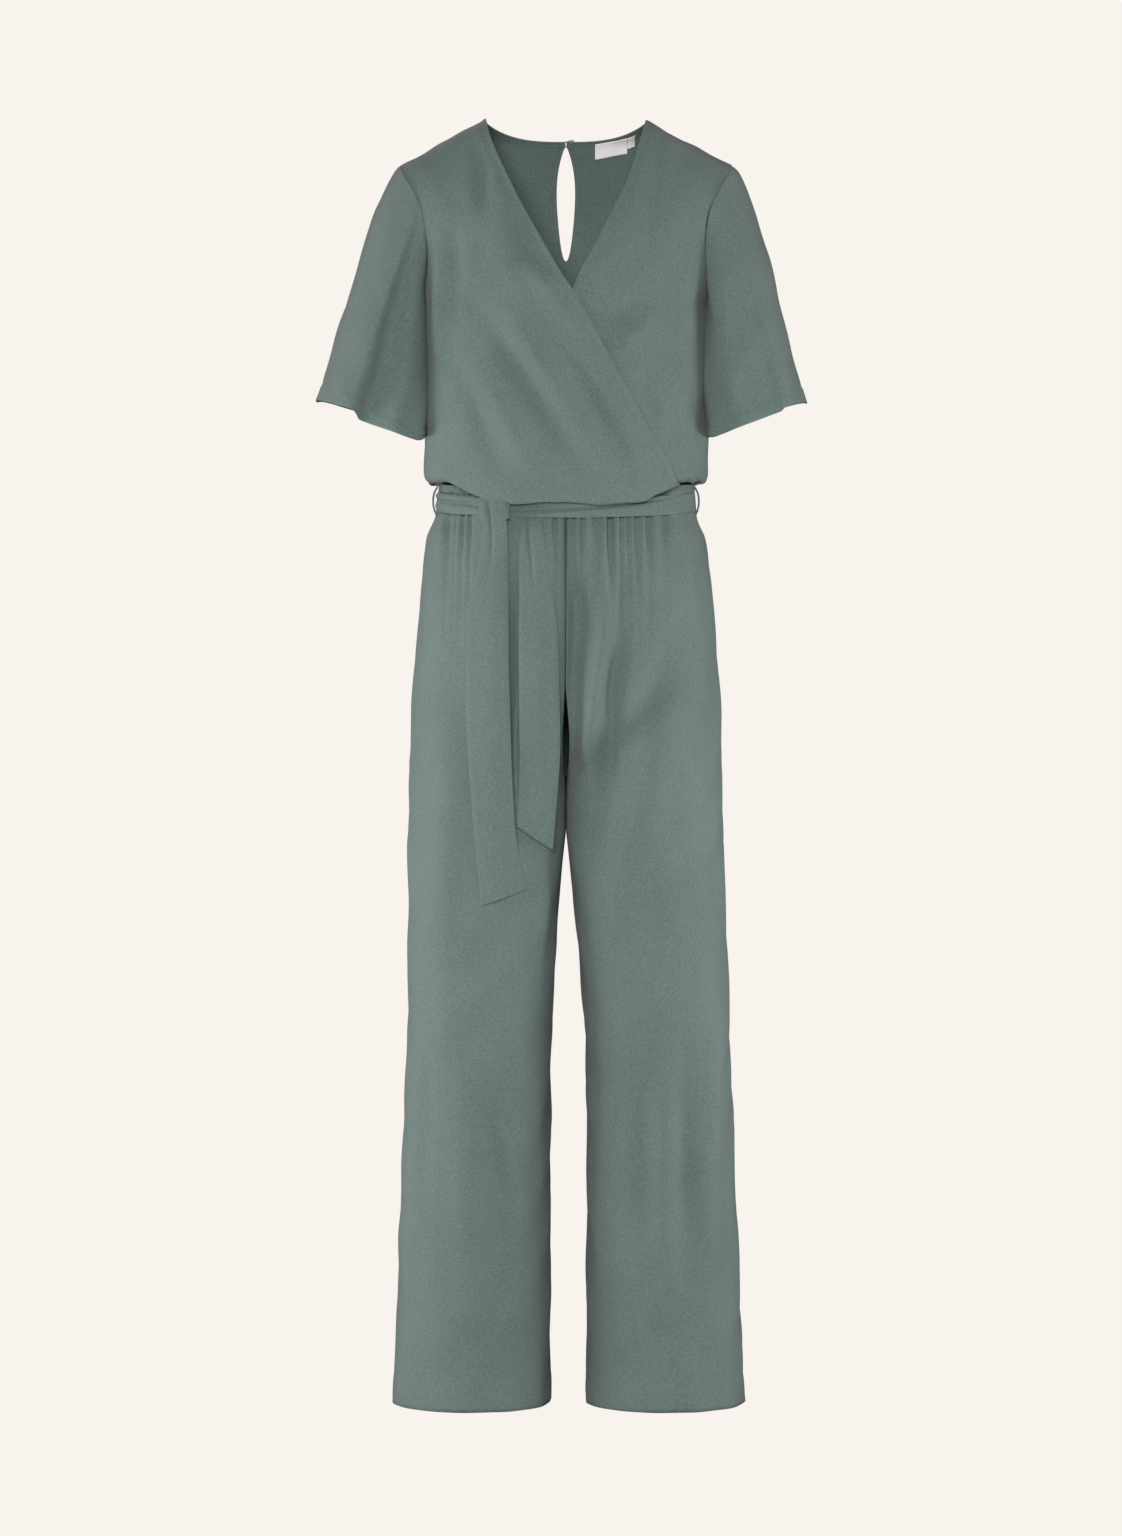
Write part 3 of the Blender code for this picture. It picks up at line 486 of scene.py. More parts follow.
def bodice_edge_sine(drop, front):
    """The sine of the angle at which a row of the bodice ends, 1 at the side seam."""
    drop = np.maximum(drop, TINY)
    share = armhole_depth(drop) / bodice_depth(drop, front)
    return np.sqrt(1 - share ** (2 / BODICE_ROUND))


def bodice_at(x, drop, front):
    """The points of the bodice at places across it and drops below the shoulder line."""
    sine = x * bodice_edge_sine(drop, front) / smooth(BODICE_HALF, drop)
    cosine = np.sqrt(np.maximum(1 - sine * sine, 0))
    depth = bodice_depth(drop, front) * cosine**BODICE_ROUND
    past_neck = np.abs(x) - NECK_HALF
    slope = SHOULDER_SLOPE * (past_neck + np.sqrt(past_neck**2 + SLOPE_STARTS)) / 2
    height = -drop - slope * (1 - ease(drop / SLOPE_ENDS))
    return points(x, -depth if front else depth, height)


def edge_x(drop, front, share):
    """Where a share of the way from the centre to the side is, across the bodice."""
    angle = np.arcsin(np.minimum(bodice_edge_sine(drop, front), 1))
    return smooth(BODICE_HALF, drop) * np.sin(share * angle) / np.sin(angle)


def share_of(x, drop, front):
    """What share of the way from the centre to the side a place across the bodice is."""
    sine = bodice_edge_sine(drop, front)
    return np.arcsin(np.clip(x * sine / smooth(BODICE_HALF, drop), -1, 1)) / np.arcsin(sine)


def blouse_drop(cosine, front):
    return BLOUSE_SIDE + (BLOUSE_FRONT if front else BLOUSE_BACK) * rises(cosine, *BLOUSE_SINKS)


def waist_drop(cosine):
    return WAIST_DROP + WAIST_DIP * np.maximum(cosine, 0) ** DIP_POWER


def bodice_rolled(share, turn, front):
    """Points of the roll over the belt, with turn from 0 above it to 1 at the waist seam."""
    angle = share * np.pi / 2
    cosine = np.maximum(np.cos(angle), 0)
    last = bodice_at(edge_x(BODICE_END, front, share), BODICE_END, front)
    low = -ROLL_RISE / 4 - blouse_drop(cosine, front)
    seam = waist_drop(cosine if front else 0 * cosine)
    seam_half = HIP_HALF[0][1]
    seam_depth = (LEG_FRONT if front else LEG_BACK)[0][1]
    sign = -1 if front else 1
    end = points(seam_half * np.sin(angle), sign * seam_depth * cosine**LEG_ROUND, ROLL_ENDS - seam)
    below = points(last[..., 0], last[..., 1], low)
    tucked = last + (end - last) * ROLL_TUCK
    tucked = points(tucked[..., 0], tucked[..., 1], low)
    turn = np.asarray(turn)[..., None]
    rest = 1 - turn
    return last * rest**3 + below * 3 * rest**2 * turn + tucked * 3 * rest * turn**2 + end * turn**3


def roll_turn(v):
    """How far round the roll over the belt a row is."""
    return np.clip((v - ROLL_STARTS) / (1 - ROLL_STARTS), 0, 1)


def row_drop(v):
    """How far down the bodice a row above the roll is."""
    return BODICE_END * (np.minimum(v, ROLL_STARTS) / ROLL_STARTS) ** ROW_POWER


def bodice_row(share, v, front):
    drop = row_drop(v)
    level = bodice_at(edge_x(drop, front, share), drop, front)
    rolled = bodice_rolled(share, roll_turn(v), front)
    return np.where((v <= ROLL_STARTS)[..., None], level, rolled)


def right_front(u, v):
    drop = row_drop(v)
    edge = share_of(smooth(WRAP_EDGE, drop + WRAP_SLANT * roll_turn(v)), drop, True)
    return bodice_row(-1 + u * (1 + edge), v, True)


def left_front_share(u, v):
    """Where a place on the left front is from the centre to the side, and its drop."""
    drop = row_drop(v)
    edge = share_of(smooth(UNDER_EDGE, drop), drop, True)
    return edge + u * (1 - edge), drop


def past_cover(u, v):
    """How far past the right front's edge a place on the left front is, and its drop."""
    share, drop = left_front_share(u, v)
    return share - share_of(smooth(WRAP_EDGE, drop), drop, True), drop


def left_front_inset(u, v):
    """How far the left front lies inside, which it does wherever the right front covers it."""
    past, drop = past_cover(u, v)
    lap, over = UNDER_LAP
    inset = WALL + 2 * SLACK + UNDER_SLACKS * SLACK * rises(drop, *UNDER_DEEPER)
    return inset * ease((lap - past) / over)


def left_front(u, v):
    return bodice_row(left_front_share(u, v)[0], v, True)


def neck_edge(x, margin):
    half = NECK_HALF + margin
    return (NECK_DROP + margin) * (1 - np.minimum(np.abs(x) / half, 1) ** 3)


def keyhole_half(share, margin):
    leaf = np.maximum(np.sin(np.pi * share**KEYHOLE_LEAN), 0) ** (1 - KEYHOLE_BLUNT * ease(share))
    around = margin * np.sqrt(np.maximum(1 - share**8, 0))
    return KEYHOLE_HALF * leaf + around + KEYHOLE_SLIT * (1 - share)


def back_share(u, drop):
    """Where a column of the back is on its row: the middle columns keep clear of the opening."""
    last = KEYHOLE_END + PANEL_MARGIN
    inside = np.clip((drop - KEYHOLE_TOP) / (last - KEYHOLE_TOP), 0, 1)
    half = np.maximum(keyhole_half(inside, PANEL_MARGIN), PANEL_MARGIN / 10)
    half = half + np.maximum(drop - last, 0) * KEYHOLE_SPREAD
    centre = share_of(half, drop, False)
    aside = np.abs(u - 0.5)
    outside = centre + (1 - centre) * (aside - CENTRE_BAND) / (0.5 - CENTRE_BAND)
    return np.copysign(np.where(aside <= CENTRE_BAND, centre * aside / CENTRE_BAND, outside), u - 0.5)


def back_bodice(u, v):
    """The back, whose rows start at the neck edge. That depends on where they are, so it is closed in on."""
    start = 0 * u
    for _ in range(6):
        drop = start + (BODICE_END - start) * (np.minimum(v, ROLL_STARTS) / ROLL_STARTS) ** ROW_POWER
        start = neck_edge(edge_x(start, False, back_share(u, start)), PANEL_MARGIN)
    level = bodice_at(edge_x(drop, False, back_share(u, drop)), drop, False)
    rolled = bodice_rolled(back_share(u, BODICE_END + 0 * u), roll_turn(v), False)
    return np.where((v <= ROLL_STARTS)[..., None], level, rolled)


def neck_binding(side):
    def surface(u, v):
        margin = v * NECK_BAND
        x = KEYHOLE_SLIT + u * (NECK_HALF + margin - KEYHOLE_SLIT)
        return bodice_at(side * x, neck_edge(x, margin), False)

    return surface


def keyhole_binding(u, v):
    margin = v * NECK_BAND
    share = 2 * np.minimum(u, 1 - u)
    drop = KEYHOLE_TOP + (KEYHOLE_END + margin - KEYHOLE_TOP) * share
    return bodice_at(np.copysign(keyhole_half(share, margin), u - 0.5), drop, False)


# The sleeves ----------------------------------------------------------------


def sleeve_waves(turn, side):
    """The soft ridges and hollows that run down a sleeve, and the step of its main fold."""
    waves = sum(high * bump((turn - at - lean * side) / wide) for at, lean, wide, high in SLEEVE_WAVES)
    at, sharp, size = SLEEVE_FOLD[side]
    return waves + size * np.tanh((turn - at) / sharp) * bump((turn - at) / SLEEVE_FOLD_REACH)


def sleeve(side):
    """A sleeve, turning from the armpit over the front and the top to the back, and down to the hem."""

    def surface(u, v):
        turn = 2 * np.pi * u
        drop = ARMHOLE_DROP * (1 + np.cos(turn)) / 2
        half = smooth(BODICE_HALF, drop)
        armhole = np.where((u < 0.5)[..., None], bodice_at(half, drop, True), bodice_at(half, drop, False))
        waves = SLEEVE_WAVE * sleeve_waves(turn, side)[..., None]
        inside_fold = ease((SLEEVE_FOLD[side][0] - turn) / STEP_TURN + 0.5) * ease(turn / STEP_STARTS)
        lower = SLEEVE_STEP[side] * inside_fold
        across = SLEEVE_HEM_ACROSS[side] * np.cos(turn)[..., None] * (1 + WAVE_ACROSS * waves)
        forward = np.array((0, SLEEVE_HEM_DEPTH, 0)) * np.sin(turn)[..., None] * (1 + waves)
        hem = SLEEVE_HEM[side] - across - forward
        hem = hem - points(0 * u, 0 * u, lower - SLEEVE_BACK_RISE * np.maximum(-np.sin(turn), 0))
        inner = bump((np.remainder(turn + np.pi, 2 * np.pi) - np.pi) / SLEEVE_INNER)[..., None]
        hem = hem + SLEEVE_FORWARD * inner
        top = (np.maximum(-np.cos(turn), 0) ** SLEEVE_CAP_POWER)[..., None]
        leave = SLEEVE_CAP * top + (hem - armhole) * (1 - top)
        t = np.asarray(v)[..., None]
        point = between(armhole, hem, leave, (hem - armhole) * SLEEVE_ARRIVE, t)
        point = point + np.array((SLEEVE_CLEARS, 0, 0)) * inner * np.sin(np.pi * t)
        return point * np.array((side, 1, 1))

    return surface


# The legs -------------------------------------------------------------------


def leg_section(drop, side, front):
    """Centre, half-width, depth and the angle at which the section ends, for one leg."""
    swing = side * LEG_SWING * rises(drop, *SWING_OUTER)
    outer = smooth(HIP_HALF, drop) + swing
    inner = smooth(LEG_INNER, drop) + swing * rises(drop, *SWING_INNER)
    rise = FRONT_RISE if front else BACK_RISE
    end_sine = rises(drop, rise, CROTCH - rise)
    half = (outer - inner) / (1 + end_sine)
    depth = smooth(LEG_FRONT if front else LEG_BACK, drop)
    return outer - half, half, depth, end_sine


def leg_point(sine, cosine, drop, side, front):
    """Points round a leg, by the sine and cosine of the way from its middle to its side."""
    centre, half, depth, _ = leg_section(drop, side, front)
    rounding = np.where(sine < 0, smooth(INNER_ROUND, drop), LEG_ROUND)
    away = depth * np.maximum(cosine, 0) ** rounding
    return points(side * (centre + half * sine), -away if front else away, -drop)


def leg_panel(side, front):
    """A leg panel, from the side seam to the centre or inside leg, and from the waist to the hem."""

    def surface(u, v):
        level = smooth(LEG_ROWS, v)
        end_sine = leg_section(level, side, front)[3]
        angle = np.pi / 2 - u * (np.pi / 2 + np.arcsin(end_sine))
        cosine = np.maximum(np.cos(angle), 0)
        dip = waist_drop(cosine if front else 0 * cosine) - WAIST_DROP
        drop = level + dip * (1 - rises(level, WAIST_DROP, DIP_FADE))
        return leg_point(np.sin(angle), cosine, drop, side, front)

    return surface


def waist_at(angle, drop, front):
    """Points of the trousers above the hips, with the angle from the centre front towards the left."""
    side = np.copysign(1, np.sin(angle))
    return leg_point(np.abs(np.sin(angle)), np.abs(np.cos(angle)), drop, side, front)


def front_at(x, drop):
    """The front of the trousers at places across them."""
    side = np.copysign(1, x)
    centre, half, _, _ = leg_section(drop, side, True)
    sine = (np.abs(x) - centre) / half
    return leg_point(sine, np.sqrt(np.maximum(1 - sine * sine, 0)), drop, side, True)


def trouser_height(point, front):
    """The folds and gathers of the trousers at points of their plain form."""
    x, drop = point[..., 0], -point[..., 2]
    half = smooth(HIP_HALF, drop)
    depth = smooth(LEG_FRONT if front else LEG_BACK, drop)
    facing = np.clip(np.abs(point[..., 1]) / depth, 0, 1) ** 0.5
    folds = creases(TROUSER_FRONT_FOLDS if front else TROUSER_BACK_FOLDS, x, drop) * facing
    folds = folds * (1 - LOWER_SHARE * rises(drop, *LOWER_STARTS))
    fade = smooth(GATHERS_FADE, drop)
    if front:
        drawn = GATHER_LIFT - sum(deep * bump((x - place) / wide) for place, wide, deep in FRONT_GATHERS)
    else:
        drawn = gathers(np.arcsin(np.clip(x / half, -1, 1)) * BACK_GIRTH, *BACK_GATHERS)
    sewn = rises(drop, *SMOOTH_FORK) * (1 - ease(np.abs(x) / FORK_HALF))
    return folds + GATHER_DEPTH * drawn * fade + rumple(point) * (1 - sewn)


# The belt -------------------------------------------------------------------


def belt_stretch(first, last):
    """The belt round the waist between two angles, and from its upper edge to its lower."""
    front = abs(first) < 90

    def surface(u, v):
        angle = np.radians(first + (last - first) * u)
        cosine = np.cos(angle)
        drop = waist_drop(cosine) + BELT_TOP + (BELT_BOTTOM - BELT_TOP) * v
        return waist_at(angle, drop + BELT_DIP * np.maximum(cosine, 0), front)

    return surface


def belt_tail(left, right):
    """A hanging end of the belt between the lines of its two edges."""

    def surface(u, v):
        top = left[0][0]
        drop_left = top + (left[-1][0] - top) * v
        drop_right = top + (right[-1][0] - top) * v
        drop = drop_left + (drop_right - drop_left) * u
        x = smooth(left, drop_left) * (1 - u) + smooth(right, drop_right) * u
        point = front_at(x, drop)
        bridged = front_at(np.minimum(x, -TAIL_BRIDGES), drop)[..., 1]
        return points(point[..., 0], np.minimum(point[..., 1], bridged), point[..., 2])

    return surface


def knot_strip(u, v):
    """The turn of the belt that goes over both ends."""
    angle = np.pi * (v - 0.5)
    x = KNOT_X + KNOT_WIDTH * (u - 0.5) * (1 - KNOT_NIP * np.cos(angle))
    point = front_at(x, KNOT_DROP + KNOT_HEIGHT / 2 * np.sin(angle))
    out = KNOT_OUT[0] + (KNOT_OUT[1] - KNOT_OUT[0]) * v + KNOT_BULGE * np.cos(angle)
    return point - points(0 * x, out, 0 * x)


# Trim -----------------------------------------------------------------------


def label_place(first, size, gap_below):
    """A label on the inside of the back, a gap below the neck edge."""

    def surface(u, v):
        ends = neck_edge(first, 0), neck_edge(first + size[0], 0)
        drop = ends[0] + (ends[1] - ends[0]) * u + gap_below + size[1] * v
        return bodice_at(first + size[0] * u, drop, False)

    return surface


def back_place(x, drop, height):
    """A point above the outside of the back, and the way out there."""
    x, drop = np.array([float(x)]), np.array([float(drop)])
    across = bodice_at(x + STEP, drop, False) - bodice_at(x - STEP, drop, False)
    down = bodice_at(x, drop + STEP, False) - bodice_at(x, drop - STEP, False)
    out = unit(np.cross(across, down))
    return Vector((bodice_at(x, drop, False) + out * height)[0]), Vector(out[0])


# Finishes -------------------------------------------------------------------


def group(name, inputs, outputs):
    tree = bpy.data.node_groups.new(name, "ShaderNodeTree")
    for label, kind in inputs:
        tree.interface.new_socket(name=label, in_out="INPUT", socket_type=kind)
    for label, kind in outputs:
        tree.interface.new_socket(name=label, in_out="OUTPUT", socket_type=kind)
    return tree, tree.nodes.new("NodeGroupInput"), tree.nodes.new("NodeGroupOutput")


def calculate(tree, operation, first, second=None):
    node = tree.nodes.new("ShaderNodeMath")
    node.operation = operation
    for socket, value in zip(node.inputs, (first, second)):
        if value is None:
            continue
        if isinstance(value, (int, float)):
            socket.default_value = value
        else:
            tree.links.new(value, socket)
    return node.outputs[0]


def noise(tree, where, scale, detail):
    node = tree.nodes.new("ShaderNodeTexNoise")
    node.inputs["Scale"].default_value = scale
    node.inputs["Detail"].default_value = detail
    tree.links.new(where, node.inputs["Vector"])
    return node.outputs["Fac"]


def knit_group():
    """Jersey stitches: columns of small V shapes, with flecked strands, painted shade in the grooves between
    the stitch columns, and a brushed surface.
    """
    tree, inlet, outlet = group(
        "jersey_knit",
        (("Across", "NodeSocketVector"), ("Place", "NodeSocketVector"), ("Column", "NodeSocketFloat"),
         ("Row", "NodeSocketFloat"), ("Fleck", "NodeSocketFloat")),
        (("Tone", "NodeSocketFloat"), ("Height", "NodeSocketFloat")),
    )  # fmt: skip
    split = tree.nodes.new("ShaderNodeSeparateXYZ")
    tree.links.new(inlet.outputs["Across"], split.inputs[0])
    column = calculate(tree, "DIVIDE", split.outputs["X"], inlet.outputs["Column"])
    row = calculate(tree, "DIVIDE", split.outputs["Y"], inlet.outputs["Row"])
    half = calculate(tree, "PINGPONG", column, 0.5)
    rib = calculate(tree, "SINE", calculate(tree, "MULTIPLY", half, 2 * math.pi))
    leaning = calculate(tree, "ADD", row, calculate(tree, "MULTIPLY", half, LOOP_LEAN))
    loop = calculate(tree, "SINE", calculate(tree, "MULTIPLY", leaning, 2 * math.pi))
    loops = calculate(tree, "MULTIPLY", loop, LOOP_SHARE)
    knit = calculate(tree, "ADD", calculate(tree, "ABSOLUTE", rib), loops)
    brushed = noise(tree, inlet.outputs["Place"], BRUSHED_SCALE, 2)
    height = calculate(tree, "ADD", calculate(tree, "MULTIPLY", knit, KNIT_SHARE), brushed)
    coarse = noise(tree, inlet.outputs["Place"], FLECK_SCALE, 3)
    wide = noise(tree, inlet.outputs["Place"], CLOUD_SCALE, 2)
    flecks = calculate(tree, "MULTIPLY", calculate(tree, "SUBTRACT", coarse, 0.5), inlet.outputs["Fleck"])
    clouds = calculate(tree, "MULTIPLY", calculate(tree, "SUBTRACT", wide, 0.5), CLOUD_TONE)
    # painted shade: the tone is darker where the knit is low, in the grooves between stitch columns
    groove_shade = calculate(tree, "MULTIPLY", calculate(tree, "SUBTRACT", knit, KNIT_SHARE), STITCH_GROOVE_SHADE)
    tone = calculate(tree, "ADD", calculate(tree, "ADD", flecks, clouds), calculate(tree, "ADD", groove_shade, 0.5))
    tree.links.new(tone, outlet.inputs["Tone"])
    tree.links.new(height, outlet.inputs["Height"])
    return tree


def between_colours(tree, share, dark, light):
    """A colour between two by a share. Sockets 6 and 7 of a Mix node are its two colours."""
    mixed = tree.nodes.new("ShaderNodeMix")
    mixed.data_type = "RGBA"
    mixed.inputs[6].default_value = dark
    mixed.inputs[7].default_value = light
    tree.links.new(share, mixed.inputs[0])
    return mixed.outputs[2]


def cloth_material(name, pattern, light, dark, column, row, fleck, roughness, depth):
    """Knitted cloth whose stitches have a width, the column, and a height, the row."""
    made = bpy.data.materials.new(name)
    made.use_nodes = True
    tree = made.node_tree
    shader = tree.nodes["Principled BSDF"]
    where = tree.nodes.new("ShaderNodeUVMap")
    where.uv_map = "grain"
    place = tree.nodes.new("ShaderNodeTexCoord")
    knit = tree.nodes.new("ShaderNodeGroup")
    knit.node_tree = pattern
    tree.links.new(where.outputs["UV"], knit.inputs["Across"])
    tree.links.new(place.outputs["Object"], knit.inputs["Place"])
    knit.inputs["Column"].default_value = column
    knit.inputs["Row"].default_value = row
    knit.inputs["Fleck"].default_value = fleck
    tree.links.new(between_colours(tree, knit.outputs["Tone"], dark, light), shader.inputs["Base Color"])
    raised = tree.nodes.new("ShaderNodeBump")
    raised.inputs["Strength"].default_value = BUMP_STRENGTH
    raised.inputs["Distance"].default_value = depth
    tree.links.new(knit.outputs["Height"], raised.inputs["Height"])
    tree.links.new(raised.outputs["Normal"], shader.inputs["Normal"])
    shader.inputs["Roughness"].default_value = roughness
    shader.inputs["Specular IOR Level"].default_value = CLOTH_SPECULAR
    shader.inputs["Sheen Weight"].default_value = SHEEN
    shader.inputs["Sheen Roughness"].default_value = SHEEN_ROUGHNESS
    return made


def shell_material():
    """A polished button with a faint cloudy tone."""
    made = bpy.data.materials.new("polished_button")
    made.use_nodes = True
    tree = made.node_tree
    shader = tree.nodes["Principled BSDF"]
    place = tree.nodes.new("ShaderNodeTexCoord")
    cloudy = noise(tree, place.outputs["Object"], 600, 3)
    tree.links.new(between_colours(tree, cloudy, SHELL_DARK, SHELL_LIGHT), shader.inputs["Base Color"])
    shader.inputs["Roughness"].default_value = 0.25
    shader.inputs["Coat Weight"].default_value = 0.4
    return made


KNIT = knit_group()
JERSEY = cloth_material(
    "sage_jersey", KNIT, JERSEY_LIGHT, JERSEY_DARK,
    column=0.0009, row=0.0007, fleck=1.6, roughness=0.88, depth=0.0004,
)  # fmt: skip
THREAD = cloth_material(
    "sewing_thread", KNIT, THREAD_LIGHT, THREAD_DARK,
    column=0.0005, row=0.0006, fleck=0.6, roughness=0.6, depth=0.0001,
)  # fmt: skip
SATIN = cloth_material(
    "label_satin", KNIT, LABEL_LIGHT, LABEL_DARK,
    column=0.0004, row=0.0009, fleck=0.5, roughness=0.45, depth=0.0001,
)  # fmt: skip
SHELL = shell_material()


# Making the pieces ----------------------------------------------------------


def grid_normals(surface, u, v, around):
    """The way a surface faces at its places (u, v). One that goes around joins up at its ends."""
    if around:
        across = surface((u + STEP) % 1, v) - surface((u - STEP) % 1, v)
    else:
        across = surface(np.minimum(u + STEP, 1), v) - surface(np.maximum(u - STEP, 0), v)
    down = surface(u, np.minimum(v + STEP, 1)) - surface(u, np.maximum(v - STEP, 0))
    return unit(np.cross(unit(across), unit(down)))


def raised(surface, flip, height, around=False):
    """The surface with its folds: what a place (u, v) of the finished cloth is."""

    def point(u, v):
        plain = surface(u, v)
        out = grid_normals(surface, u, v, around) * (-1 if flip else 1)
        return plain + out * np.asarray(height(u, v, plain))[..., None]

    return point


def travelled(surface, across, at):
    """Distances along one middle line of a surface, as a function of its share."""
    shares = np.linspace(0, 1, 200)
    fixed = np.full_like(shares, at)
    line = surface(shares, fixed) if across else surface(fixed, shares)
    steps = np.linalg.norm(np.diff(line, axis=0), axis=1)
    return shares, np.concatenate(([0], np.cumsum(steps)))


def finish_piece(name, mesh, nodes, material, wall=0):
    """A piece of the jumpsuit from its mesh, with a wall inwards from it where it is cloth."""
    piece = bpy.data.objects.new(name, mesh)
    bpy.context.scene.collection.objects.link(piece)
    mesh.materials.append(material)
    mesh.shade_smooth()
    if wall:
        solid = piece.modifiers.new("wall", "SOLIDIFY")
        solid.thickness = wall
        solid.offset = -1
    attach(piece, "root")
    if nodes:
        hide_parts(*nodes)
    return piece


def cloth(name, node, surface, grid, flip, height, wall=CLOTH, hole=None, around=False,
          material=JERSEY, middle=(0.5, 0.5)):  # fmt: skip
    """A piece of cloth: a flat grid laid on its form, with its folds, then given its wall."""
    shape = bmesh.new()
    bmesh.ops.create_grid(shape, x_segments=grid[0], y_segments=grid[1], size=0.5)
    bmesh.ops.translate(shape, verts=shape.verts, vec=(0.5, 0.5, 0))
    if hole:
        inside = [face for face in shape.faces if hole(*face.calc_center_median().xy)]
        bmesh.ops.delete(shape, geom=inside, context="FACES")
    columns, column_lengths = travelled(surface, True, middle[1])
    rows, row_lengths = travelled(surface, False, middle[0])
    grain = shape.loops.layers.uv.new("grain")
    for face in shape.faces:
        for loop in face.loops:
            loop[grain].uv = loop.vert.co.xy
    if flip:
        bmesh.ops.reverse_faces(shape, faces=shape.faces)
    mesh = bpy.data.meshes.new(name)
    shape.to_mesh(mesh)
    shape.free()
    flat = np.empty(len(mesh.vertices) * 3)
    mesh.vertices.foreach_get("co", flat)
    u, v = np.clip(flat.reshape(-1, 3)[:, :2].T, 0, 1)
    if around:
        u = u % 1
    laid = raised(surface, flip, height, around)(u, v)
    mesh.vertices.foreach_set("co", laid.ravel())
    uv = np.empty(len(mesh.loops) * 2)
    mesh.uv_layers["grain"].data.foreach_get("uv", uv)
    across, down = uv.reshape(-1, 2).T
    metres = np.stack((np.interp(across, columns, column_lengths), np.interp(down, rows, row_lengths)), -1)
    mesh.uv_layers["grain"].data.foreach_set("uv", metres.ravel())
    if around:
        joined = bmesh.new()
        joined.from_mesh(mesh)
        bmesh.ops.remove_doubles(joined, verts=joined.verts, dist=MERGE)
        joined.to_mesh(mesh)
        joined.free()
    mesh.update()
    return finish_piece(name, mesh, [node], material, wall)


def thread_path(name, node, path, radius):
    """A round thread along a smooth path."""
    curve = bpy.data.curves.new(name, "CURVE")
    curve.dimensions = "3D"
    curve.bevel_depth = radius
    curve.bevel_resolution = 3
    curve.resolution_u = 8
    curve.use_fill_caps = True
    spline = curve.splines.new("BEZIER")
    spline.bezier_points.add(len(path) - 1)
    for knot, place in zip(spline.bezier_points, path):
        knot.co = place
        knot.handle_left_type = "AUTO"
        knot.handle_right_type = "AUTO"
    curve.materials.append(THREAD)
    piece = bpy.data.objects.new(name, curve)
    bpy.context.scene.collection.objects.link(piece)
    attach(piece, "root")
    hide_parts(node)
    return piece


def stitches(name, lines):
    """Rows of short stitches along lines of points, each line with the way out of the cloth at its points."""
    shape = bmesh.new()
    for line, out in lines:
        steps = np.linalg.norm(np.diff(line, axis=0), axis=1)
        lengths = np.concatenate(([0], np.cumsum(steps)))
        for start in np.arange(STITCH_PITCH / 2, lengths[-1], STITCH_PITCH):
            here = Vector([np.interp(start, lengths, line[:, axis]) for axis in range(3)])
            ahead = Vector([np.interp(start + FOLD_STEP, lengths, line[:, axis]) for axis in range(3)])
            facing = Vector([np.interp(start, lengths, out[:, axis]) for axis in range(3)])
            along = ahead - here
            if along.length < MERGE:
                continue
            turn = along.to_track_quat("X", "Z").to_matrix().to_4x4()
            size = Matrix.Diagonal((STITCH_LONG / 2, STITCH_THICK / 2, STITCH_THICK / 2, 1))
            bmesh.ops.create_uvsphere(
                shape, u_segments=6, v_segments=4, radius=1,
                matrix=Matrix.Translation(here + facing * STITCH_THICK * STITCH_STANDS) @ turn @ size,
            )  # fmt: skip
    shape.loops.layers.uv.new("grain")
    mesh = bpy.data.meshes.new(name)
    shape.to_mesh(mesh)
    shape.free()
    return finish_piece(name, mesh, None, THREAD)


def line_on(surface, flip, height, u, v, around=False):
    """A line of points on a finished cloth, with the way out at each."""
    place = raised(surface, flip, height, around)
    return place(u, v), grid_normals(surface, u, v, around) * (-1 if flip else 1)


def along_edge(surface, v, far, edge, share):
    """The shares u at which rows are a distance from an edge, measured on a small share beside it."""
    beside = surface(np.full_like(v, edge), v) - surface(np.full_like(v, edge - share), v)
    return edge - share * far / np.linalg.norm(beside, axis=1)


def right_front_height(u, v, plain):
    x, drop = plain[..., 0], -plain[..., 2]
    turns = rises(v, *FRONT_TURNS)
    drawn = gathers(np.abs(x) + 0.01, 0.019, 0.0016) * rises(v, *FRONT_ROLLS) * turns
    lift, over = EDGE_LIFT
    edge = lift * (1 - ease((1 - u) / over))
    seam = SEAM_DEPTH * bump(u / FRONT_SEAM) * rises(drop, *BELOW_ARMHOLE)
    return creases(RIGHT_FRONT_FOLDS, x, drop) * (1 - turns) + rumple(plain) + drawn + edge - seam


def left_front_height(u, v, plain):
    x, drop = plain[..., 0], -plain[..., 2]
    inset = left_front_inset(u, v)
    hidden = inset / np.max(inset)
    drawn = gathers(np.abs(x) + 0.004, 0.017, 0.0016) * rises(v, *FRONT_ROLLS) * (1 - hidden)
    own = OWN_FOLDS * creases(LEFT_FRONT_FOLDS, x, drop) * (1 - hidden)
    shared = creases(RIGHT_FRONT_FOLDS, x, drop) * hidden
    folds = (own + shared) * (1 - rises(v, *FRONT_TURNS)) + rumple(plain)
    last, over = GROOVE_ENDS
    beside = bump((past_cover(u, v)[0] - GROOVE_BESIDE) / GROOVE_WIDE)
    groove = GROOVE * beside * ease((last - v) / over) * rises(drop, *GROOVE_STARTS)
    seam = SEAM_DEPTH * bump((1 - u) / FRONT_SEAM) * rises(drop, *BELOW_ARMHOLE)
    return folds + drawn - inset - groove - seam


def back_height(u, v, plain):
    x, drop = plain[..., 0], -plain[..., 2]
    drawn = gathers(x + 0.3, 0.015, 0.002) * rises(v, *BACK_ROLLS)
    folds = creases(BACK_FOLDS, x, drop) * (1 - rises(v, *BACK_TURNS))
    seams = SEAM_DEPTH * (bump(u / BACK_SEAM) + bump((1 - u) / BACK_SEAM)) * rises(drop, *BELOW_ARMHOLE)
    return folds + rumple(plain) * rises(drop, *BELOW_NECK) + drawn - seams


